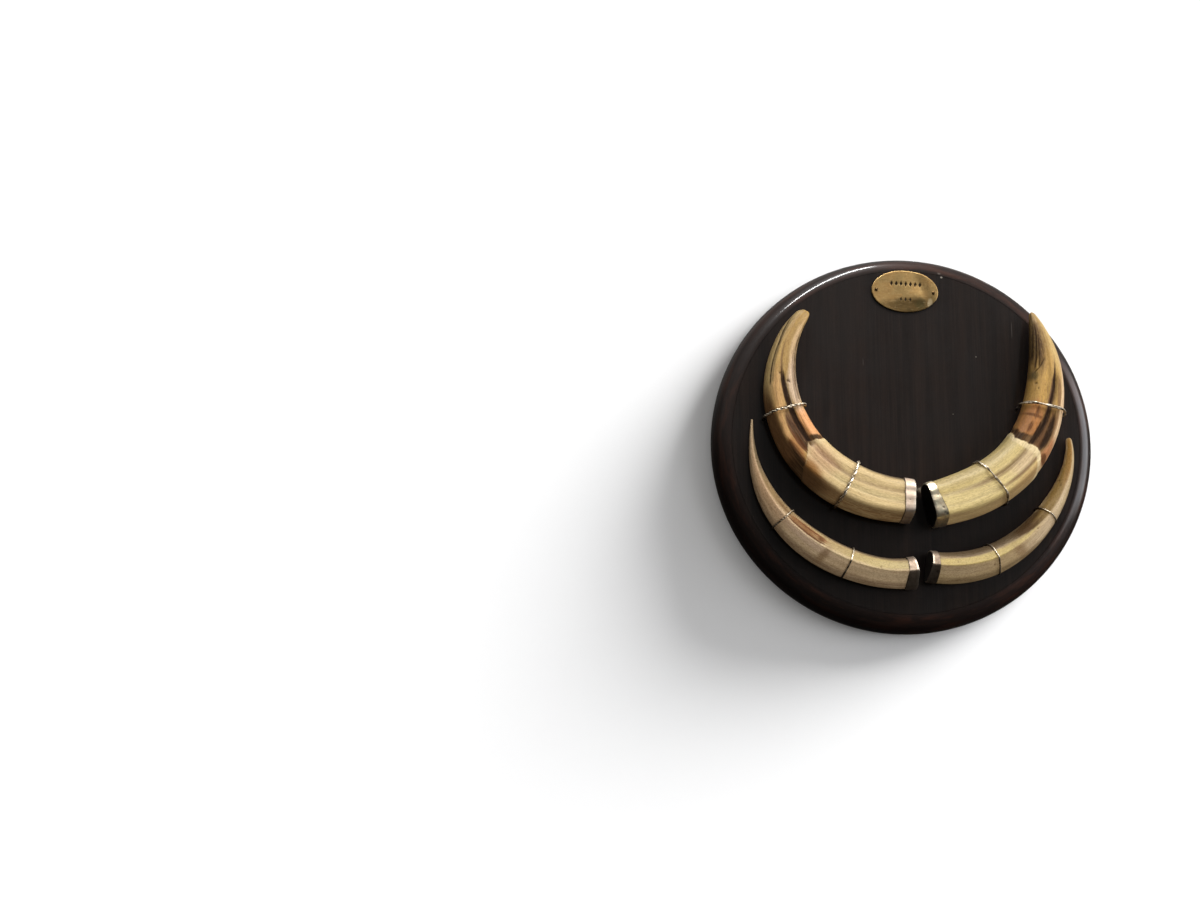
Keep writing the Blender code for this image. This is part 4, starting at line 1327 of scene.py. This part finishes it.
# %% Stain and lacquer
class Mark(NamedTuple):
    """A speck or scratch, or a patch of painted highlight or shade: its middle and its half sizes in mm,
    and how far it covers.
    """

    x: float
    z: float
    half_width: float
    half_height: float
    tint: tuple
    strength: float = 0.85


PAINT = (0.42, 0.38, 0.32)
FACE_MARKS = (
    Mark(23.0, 148.4, 1.0, 0.8, PAINT), Mark(32.6, 143.5, 1.3, 1.0, PAINT),
    Mark(34.3, 139.8, 0.9, 0.8, PAINT), Mark(92.0, 94.5, 0.35, 6.5, (0.06, 0.05, 0.045)),
    Mark(61.0, 71.0, 0.5, 0.5, (0.2, 0.18, 0.15)), Mark(-34.0, 66.0, 0.3, 3.0, (0.05, 0.04, 0.035)),
    Mark(40.0, 22.0, 0.5, 0.4, (0.16, 0.14, 0.11)),
)
BACK_FROM, BACK_TO = -1.6, -0.9  # where along y the lacquer stops


def marked(r, tint, marks, where, wander, fray, softness):
    """The tint with every mark laid over it."""
    for mark in marks:
        mask = r.effect(
            STAIN, where, wander, mark.x, mark.z, mark.half_width, mark.half_height, 0.0, fray, softness
        )
        tint = r.mix(mask * mark.strength, tint, mark.tint)
    return tint


def stained_wood():
    made, r, shader = new_finish(
        "stained hardwood", Roughness=0.42, IOR=1.24, Coat_Weight=0.8, Coat_Roughness=0.08, Coat_IOR=1.4
    )
    place = r.millimetres()
    x, y, z = r.split(place)
    grain = r.vector(z, x, y)
    from_axis = r.math("SQRT", x * x + z * z)
    around = r.vector(r.math("ARCTAN2", x, z) * BOARD_RADIUS, from_axis, y)
    bands = r.effect(STREAKS, grain, 260.0, 8.0, 0.36, 0.66)
    lines = r.effect(STREAKS, grain, 60.0, 1.0, 0.40, 0.70)
    pores = r.effect(HAIRLINES, grain, 9.0, 0.8, 0.08)
    cloud = r.fit(r.noise(place, 0.03, detail=5.0, roughness=0.6), 0.35, 0.65)
    face = r.mix(bands, (0.0105, 0.0070, 0.0058), (0.0200, 0.0120, 0.0090))
    face = r.mix(cloud * 0.5, face, (0.0120, 0.0092, 0.0082))
    face = r.mix(lines * 0.30, face, (0.030, 0.020, 0.016))
    face = r.mix(pores * 0.35, face, (0.004, 0.003, 0.003))
    face = marked(r, face, FACE_MARKS, r.vector(x, z), cloud, 0.3, 0.3)
    worn = r.effect(STREAKS, around, 46.0, 9.0, 0.46, 0.66)
    scuffs = r.effect(STREAKS, around, 12.0, 1.6, 0.52, 0.72)
    edge = r.mix(worn, (0.0190, 0.0110, 0.0090), (0.046, 0.0190, 0.0125))
    edge = r.mix(scuffs * 0.40, edge, (0.060, 0.028, 0.018))
    inner = BOARD_RADIUS - RIM_WIDTH
    tint = r.mix(r.fit(from_axis, inner - 1, inner + 3), face, edge)
    raw = r.mix(bands, (0.090, 0.042, 0.020), (0.050, 0.024, 0.012))
    raw = r.mix(pores * 0.7, raw, (0.018, 0.009, 0.006))
    bleed = r.fit(from_axis + cloud * 14.0, BOARD_RADIUS - 16, BOARD_RADIUS)
    raw = r.mix(bleed, raw, (0.012, 0.008, 0.006))
    back = r.fit(y, BACK_FROM, BACK_TO)
    rubbed = lines * 0.06 + cloud * 0.08
    r.fill(
        shader, Base_Color=r.mix(back, tint, raw), Coat_Weight=(1.0 - back) * 0.8,
        Roughness=r.math("MAXIMUM", rubbed + 0.38, back * 0.8), Coat_Roughness=rubbed + 0.06,
        Normal=r.bump(lines * 0.3 - pores * 0.6, 0.04),
    )
    return made


dress(board, stained_wood(), "board")

# %% [markdown]
# ## The oval plate
# The plate is a thin oval of brass. It has been bent by hand, so a crease runs down it and its lower
# right corner stands up. It is built as nested ovals from the edge inwards, close enough together to
# engrave. It carries no words: two short rows of upright lozenges fill the place, and old black wax
# sits in the cuts.


# %% Cut, bend and engrave it
class Row(NamedTuple):
    """A row of engraved lozenges: its middle on the plate, and the size and spacing of one lozenge."""

    u: float
    v: float
    count: int
    half_width: float
    half_height: float
    pitch: float


PLATE_WIDTH, PLATE_HEIGHT, PLATE_THICKNESS = 56.0, 36.0, 1.2
PLATE_AROUND, PLATE_RINGS = 224, 66
PLATE_EDGE = (  # (share of the size, mm out from its bed)
    (1.0, 0.0), (1.0, 0.5), (1.0, 0.85), (0.995, 1.08), (0.985, PLATE_THICKNESS),
)
PLATE_FRONT = 0.7  # mm above its bed, past which a point belongs to the front
ORNAMENT = (Row(0.5, 6.3, 7, 1.25, 2.3, 4.0), Row(0.9, -7.0, 3, 0.95, 1.9, 3.9))
STROKE = 0.15  # how much of each lozenge is cut, from its outline inwards
CUT_DEPTH = 0.16


def engraving(u, v):
    """1 inside a cut and 0 outside, at places on the plate in mm."""
    cut = np.zeros(len(u))
    for row in ORNAMENT:
        for k in range(row.count):
            middle = row.u + (k - (row.count - 1) / 2) * row.pitch
            away = np.abs(u - middle) / row.half_width + np.abs(v - row.v) / row.half_height
            cut = np.maximum(cut, ease(1.15, 0.9, away) * ease(STROKE - 0.2, STROKE, away))
    return cut


def plate_bend(u, v):
    """How far the sheet stands off its bed: a slow wave, a crease, and a corner lifted past it."""
    wave = 0.14 * np.sin(u / 7.5 + 0.6) * np.cos(v / 9.0)
    past_crease = (u - 14) * 0.91 + (v - 2) * 0.41
    corner = 1.0 * ease(-1, 9, past_crease) + 0.5 * np.exp(-(((u - 12) / 7) ** 2) - ((v + 4) / 6) ** 2)
    return wave + corner + 0.3 * ease(12, 26, -u)


def oval_plate():
    base = FACE_HEIGHT + GAP
    levels = [*PLATE_EDGE]
    levels += [(share, PLATE_THICKNESS) for share in np.linspace(0.965, 0.02, PLATE_RINGS)]
    angles = math.tau * np.arange(PLATE_AROUND) / PLATE_AROUND
    rings = []
    for share, out in levels:
        u, v = share * PLATE_WIDTH / 2 * np.cos(angles), share * PLATE_HEIGHT / 2 * np.sin(angles)
        rings.append(np.column_stack((u, np.full(len(u), -(base + out)), v)))
    piece = skin("oval_plate", rings, pointed=True)
    places = mesh_array(piece.data.vertices, "co", 3) / MM
    u, v = places[:, 0], places[:, 2]
    front = places[:, 1] < -(base + PLATE_FRONT)
    cut = engraving(u, v) * front
    worn = 0.03 * rough(places, 6.0, 31) + 0.012 * rough(places, 1.5, 32)
    places[:, 1] -= plate_bend(u, v) + worn * front - CUT_DEPTH * cut
    cos, sin = math.cos(PLATE_TILT), math.sin(PLATE_TILT)
    set_attribute(piece.data, "plate", np.column_stack((u, v, np.zeros(len(u)))))
    set_attribute(piece.data, "dirt", cut)
    places[:, 0], places[:, 2] = PLATE_CENTRE[0] + u * cos - v * sin, PLATE_CENTRE[1] + u * sin + v * cos
    piece.data.vertices.foreach_set("co", (places * MM).ravel())
    piece.data.update()
    drill(piece, PINS.values(), PIN_HOLE, FACE_HEIGHT - OVERCUT, FACE_HEIGHT + 6)
    smooth(piece, 35)
    return piece


# %% Aged brass
PLATE_HIGHLIGHT_AND_SHADE = (  # painted highlight on the corner that stands up, and painted shade in the dip before it and along the lower part
    Mark(3.0, -12.5, 22.0, 6.5, (0.09, 0.058, 0.022)),
    Mark(13.5, -10.0, 4.6, 5.0, (0.09, 0.07, 0.028), 0.75),
    Mark(21.6, -9.0, 1.9, 3.8, (0.85, 0.66, 0.38)),
)


def aged_brass(name, painted_marks=(), grime=0.0):
    made, r, shader = new_finish(name, Metallic=1.0, Roughness=0.45)
    place = r.millimetres()
    cloud = r.noise(place, 0.10, detail=6.0, roughness=0.62)
    scratches = r.effect(HAIRLINES, place, 16.0, 1.2, 0.05)
    tint = r.mix(r.fit(cloud, 0.38, 0.62), (0.43, 0.285, 0.115), (0.30, 0.185, 0.070))
    # painted highlight and shade laid on the bent plate
    if painted_marks:
        tint = marked(r, tint, painted_marks, r.attribute("plate", "Vector"), cloud, 0.6, 0.35)
    spots = r.fit(r.noise(place, 0.5, detail=5.0, roughness=0.75), 0.52, 0.70)
    tint = r.mix(spots * 0.65, tint, (0.20, 0.115, 0.045))
    tint = r.mix(scratches * 0.25, tint, (0.70, 0.52, 0.27))
    tint = r.mix(grime, tint, (0.06, 0.035, 0.016))
    tint = r.mix(r.attribute("dirt"), tint, (0.02, 0.014, 0.010))
    bump = r.bump(scratches * -0.3 + r.noise(place, 0.9, detail=4.0), 0.02)
    r.fill(shader, Base_Color=tint, Roughness=r.fit(cloud, 0.35, 0.65, 0.34, 0.46), Normal=bump)
    return made


dress(oval_plate(), aged_brass("aged brass", PLATE_HIGHLIGHT_AND_SHADE), "name_plate")

# %% [markdown]
# ## Pins, hanger and nails
# Small turned pins hold the plate, and the hanger at the back is a stamped steel strip with saw
# teeth, held by two nails. They are small, but a hammered, slightly domed head catches the light in a
# way that a plain disc does not.


# %% Turn the pins and nails
PIN_HEAD, PIN_LENGTH, PIN_SIDES = 1.4, 6.0, 28
HEAD_ANGLES = (20, 40, 60, 80)


def domed_pin(name, place, under, inward):
    """A pin whose head stands on `under` (mm out from the back). Inward 1 is into the board's back."""
    shank, tip = PIN_SHANK / 2, under + inward * PIN_LENGTH
    profile = [(0, -tip), (shank * 0.4, -(tip - inward * 0.2)), (shank, -(tip - inward * 1.6))]
    profile += [(shank, -under), (PIN_HEAD * 0.92, -under)]
    profile += [(PIN_HEAD, -(under - inward * rise)) for rise in (0.15, 0.3)]
    for a in np.radians(HEAD_ANGLES):
        profile.append((PIN_HEAD * math.cos(a), -(under - inward * (0.3 + 0.7 * math.sin(a)))))
    profile.append((0, -(under - inward * 1.0)))
    piece = turned(name, profile, PIN_SIDES, place)
    places = mesh_array(piece.data.vertices, "co", 3) / MM
    push(piece, 0.05 * rough(places, 1.1, 41))
    smooth(piece, 45)
    return piece


DARK_BRASS = aged_brass("dark brass", grime=0.85)
for (side, place), across in zip(PINS.items(), (-PIN_SPACING / 2, PIN_SPACING / 2)):
    lift = float(plate_bend(np.array([across]), np.array([0.0]))[0])
    seat = FACE_HEIGHT + GAP + PLATE_THICKNESS + lift + 0.1
    pin = domed_pin(f"brass_pin_{side}", place, seat, -1)
    dress(pin, DARK_BRASS, f"plate_pin_{side}")


# %% Stamp the hanger
HANGER_WIDTH, HANGER_DEPTH, HANGER_METAL, HANGER_STAND_OFF = 46.0, 9.0, 0.8, 1.2
TOOTH_PITCH, TOOTH_COUNT, TOOTH_HEIGHT = 3.0, 9, 1.8
CUT_CORNER, FLAT_END = 1.2, 2.5  # the clipped corners, and the flat between them and the teeth


def zinc_steel():
    made, r, shader = new_finish("zinc-plated steel", Metallic=1.0, Roughness=0.4)
    place = r.millimetres()
    rust = r.fit(r.noise(place, 0.5, detail=5.0, roughness=0.7), 0.58, 0.72)
    tint = r.mix(r.cells(place, 0.7), (0.52, 0.51, 0.49), (0.40, 0.40, 0.39))
    tint = r.mix(rust * 0.7, tint, (0.16, 0.07, 0.03))
    r.fill(shader, Base_Color=tint, Roughness=rust * 0.3 + 0.36, Normal=r.bump(r.noise(place, 1.4), 0.08))
    return made


def hanger_strip():
    teeth, half = TOOTH_PITCH * TOOTH_COUNT / 2, HANGER_WIDTH / 2
    columns = [(-half, 0.0, CUT_CORNER), (-half + CUT_CORNER, 0.0, 0.0), (-teeth - FLAT_END, 0.0, 0.0)]
    for step in range(2 * TOOTH_COUNT + 1):
        rise = TOOTH_HEIGHT if step % 2 else 0.0
        columns.append((-teeth + step * TOOTH_PITCH / 2, HANGER_STAND_OFF, rise))
    columns += [(-x, stand_off, rise) for x, stand_off, rise in reversed(columns[:3])]
    floor = RECESS_DEPTH - GAP
    rings = []
    for x, stand_off, rise in columns:
        low, high = HANGER_HEIGHT - HANGER_DEPTH / 2 + rise, HANGER_HEIGHT + HANGER_DEPTH / 2
        if abs(x) == half:
            high -= rise
        inner, outer = -(floor - stand_off), -(floor - stand_off - HANGER_METAL)
        rings.append([(x, inner, low), (x, outer, low), (x, outer, high), (x, inner, high)])
    piece = skin("saw_tooth_hanger", rings)
    add_modifier(
        piece, "BEVEL", width=0.12 * MM, segments=2, limit_method="ANGLE", angle_limit=math.radians(50)
    )
    drill(piece, NAILS.values(), PIN_HOLE, 0.5, 4.0)
    smooth(piece, 35)
    return piece


STEEL = zinc_steel()
dress(hanger_strip(), STEEL, "hanger_strip")
strip_back = RECESS_DEPTH - GAP - HANGER_METAL
for side, place in NAILS.items():
    nail = domed_pin(f"hanger_tack_{side}", place, strip_back - 0.1, 1)
    dress(nail, STEEL, f"hanger_nail_{side}")

# %% [markdown]
# ## Wall, floor and light
# The plaque hangs on a plain white wall over a pale floor. A soft key light stands high on the right
# and models the tusks, and a broad weak one in front keeps their undersides from going black. The
# dark board has a key of its own from nearly the same place, which isn't mirrored in the lacquer. A
# long tube nearly overhead is, as a bright line along the shoulder of the rim.
#
# The wall has two suns of its own. One comes from the right, hardly clear of the wall, and is as wide
# as a window close by. It rakes along the wall and lays a long soft shadow down to the left. The
# other is even. Two weak lamps light the back. The sky is dim and a little brighter overhead, with a
# soft glow behind the wall's top and one bright patch where that window stands. The wall is
# see-through from behind, so that a view of the back isn't blocked by it.


# %% Build the wall and the floor
WALL_HALF_WIDTH, WALL_TOP, FLOOR_LEVEL, FLOOR_REACH = 4.0, 3.0, -1.3, 4.0
WALL_STAND_OFF = 0.5 * MM


def white_paint(name, value):
    """White from the front and see-through from behind."""
    paint, r, shader = new_finish(name, Roughness=0.9, Base_Color=(value, value, value))
    behind = r.value(r.node("NewGeometry"), "Backfacing")
    either = r.node("MixShader", behind, r.value(shader), r.value(r.node("BsdfTransparent")))
    r.fill(paint.node_tree.nodes["Material Output"], Surface=r.value(either))
    return paint


def staged_plane(name, corners, material):
    plane = new_primitive(name, bpy.ops.mesh.primitive_plane_add, size=1.0)
    mesh = bmesh.from_edit_mesh(plane.data)
    mesh.faces.ensure_lookup_table()
    for corner, place in zip(mesh.faces[0].verts, corners):
        corner.co = place
    settle(plane)
    plane.data.materials.append(material)
    plane.visible_shadow = plane.visible_diffuse = plane.visible_glossy = False
    return plane


side, back = WALL_HALF_WIDTH, WALL_STAND_OFF
foot = ((-side, back, FLOOR_LEVEL), (side, back, FLOOR_LEVEL))
top = ((side, back, WALL_TOP), (-side, back, WALL_TOP))
near = ((-side, -FLOOR_REACH, FLOOR_LEVEL), (side, -FLOOR_REACH, FLOOR_LEVEL))
wall = staged_plane("white_wall", foot + top, white_paint("white wall", 0.86))
floor = staged_plane("pale_floor", near + foot[::-1], white_paint("pale floor", 0.7))
for plane in (wall, floor):
    print(plane.name, "faces", tuple(plane.data.polygons[0].normal))


# %% Light it
def aimed(lamp, name, towards, power):
    lamp.name = name
    lamp.rotation_euler = Vector(towards).to_track_quat("-Z", "Y").to_euler()
    lamp.data.energy = power
    return lamp


def soft_light(name, place, size, power, spread=180):
    """A rectangle of light that faces the plaque."""
    bpy.ops.object.light_add(type="AREA", location=place)
    lamp = aimed(bpy.context.object, name, -Vector(place), power)
    lamp.data.shape = "RECTANGLE"
    lamp.data.size, lamp.data.size_y = size
    lamp.data.spread = math.radians(spread)
    return lamp


def light_link(lamp, state, *things):
    """Lets a lamp light only these things (INCLUDE), or everything but them (EXCLUDE)."""
    group = bpy.data.collections.new(f"{lamp.name} {state.lower()}s")
    lamp.light_linking.receiver_collection = group
    for thing in things:
        group.objects.link(thing)
        group.collection_objects[-1].light_linking.link_state = state


key = soft_light("key_light", (0.60, -1.20, 1.68), (1.1, 0.8), 33)
light_link(key, "EXCLUDE", wall, board)
wash = soft_light("key_wash", (0.60, -1.10, 1.78), (1.1, 0.8), 47)
light_link(wash, "INCLUDE", board)
fill = soft_light("front_fill", (0.10, -1.90, -0.80), (1.5, 1.0), 24)
light_link(fill, "EXCLUDE", wall, board)
wash.visible_glossy = fill.visible_glossy = False  # they light things but aren't mirrored in them

tube = soft_light("overhead_tube", (-0.22, -0.68, 1.86), (1.3, 0.10), 45)
along, away = Vector((0.60, 0.73, 0.33)), tube.location.normalized()
along = (along - along.dot(away) * away).normalized()
tube.rotation_euler = Matrix((along, away.cross(along), away)).transposed().to_euler()
tube.visible_diffuse = False
light_link(tube, "EXCLUDE", wall)

for name, direction, power, angle in (
    ("wall_wash", (-0.77, 0.087, -0.63), 18.8, 37), ("wall_fill", (0, 1, -0.1), 0.60, 130)
):
    bpy.ops.object.light_add(type="SUN")
    lamp = aimed(bpy.context.object, name, direction, power)
    lamp.data.angle = math.radians(angle)
    light_link(lamp, "INCLUDE", wall)
for name, state in (("back_light", "EXCLUDE"), ("back_wash", "INCLUDE")):
    lamp = soft_light(name, (0.4, 1.9, 0.8), (1.0, 1.0), 30, spread=90)
    lamp.visible_glossy = state == "EXCLUDE"
    light_link(lamp, state, board)

world = bpy.data.worlds.new("studio sky")
bpy.context.scene.world = world
world.use_nodes = True
sky = Recipe(world.node_tree)
east, north, height = sky.split(sky.value(sky.node("TexCoord"), "Generated"))
patch = sky.fit(east, 0.52, 0.82) * sky.fit(north, 0.30, -0.05)
patch = patch * (sky.fit(height, -0.2, 0.0) * sky.fit(height, 0.55, 0.3))
overhead = sky.fit(height, 0.0, 0.5, 0.05, 0.35) * sky.fit(north, 0.3, -0.1, 0.2, 1.0)
behind = sky.fit(north, 0.1, 0.5) * sky.fit(height, 0.2, 0.9, 0.0, 0.22)
tint = sky.mix(patch, (1.0, 0.98, 0.95), (0.93, 0.95, 1.0))
sky.fill(world.node_tree.nodes["Background"], Strength=overhead + behind + patch * 4.5, Color=tint)
bpy.context.scene.view_settings.view_transform = "Standard"
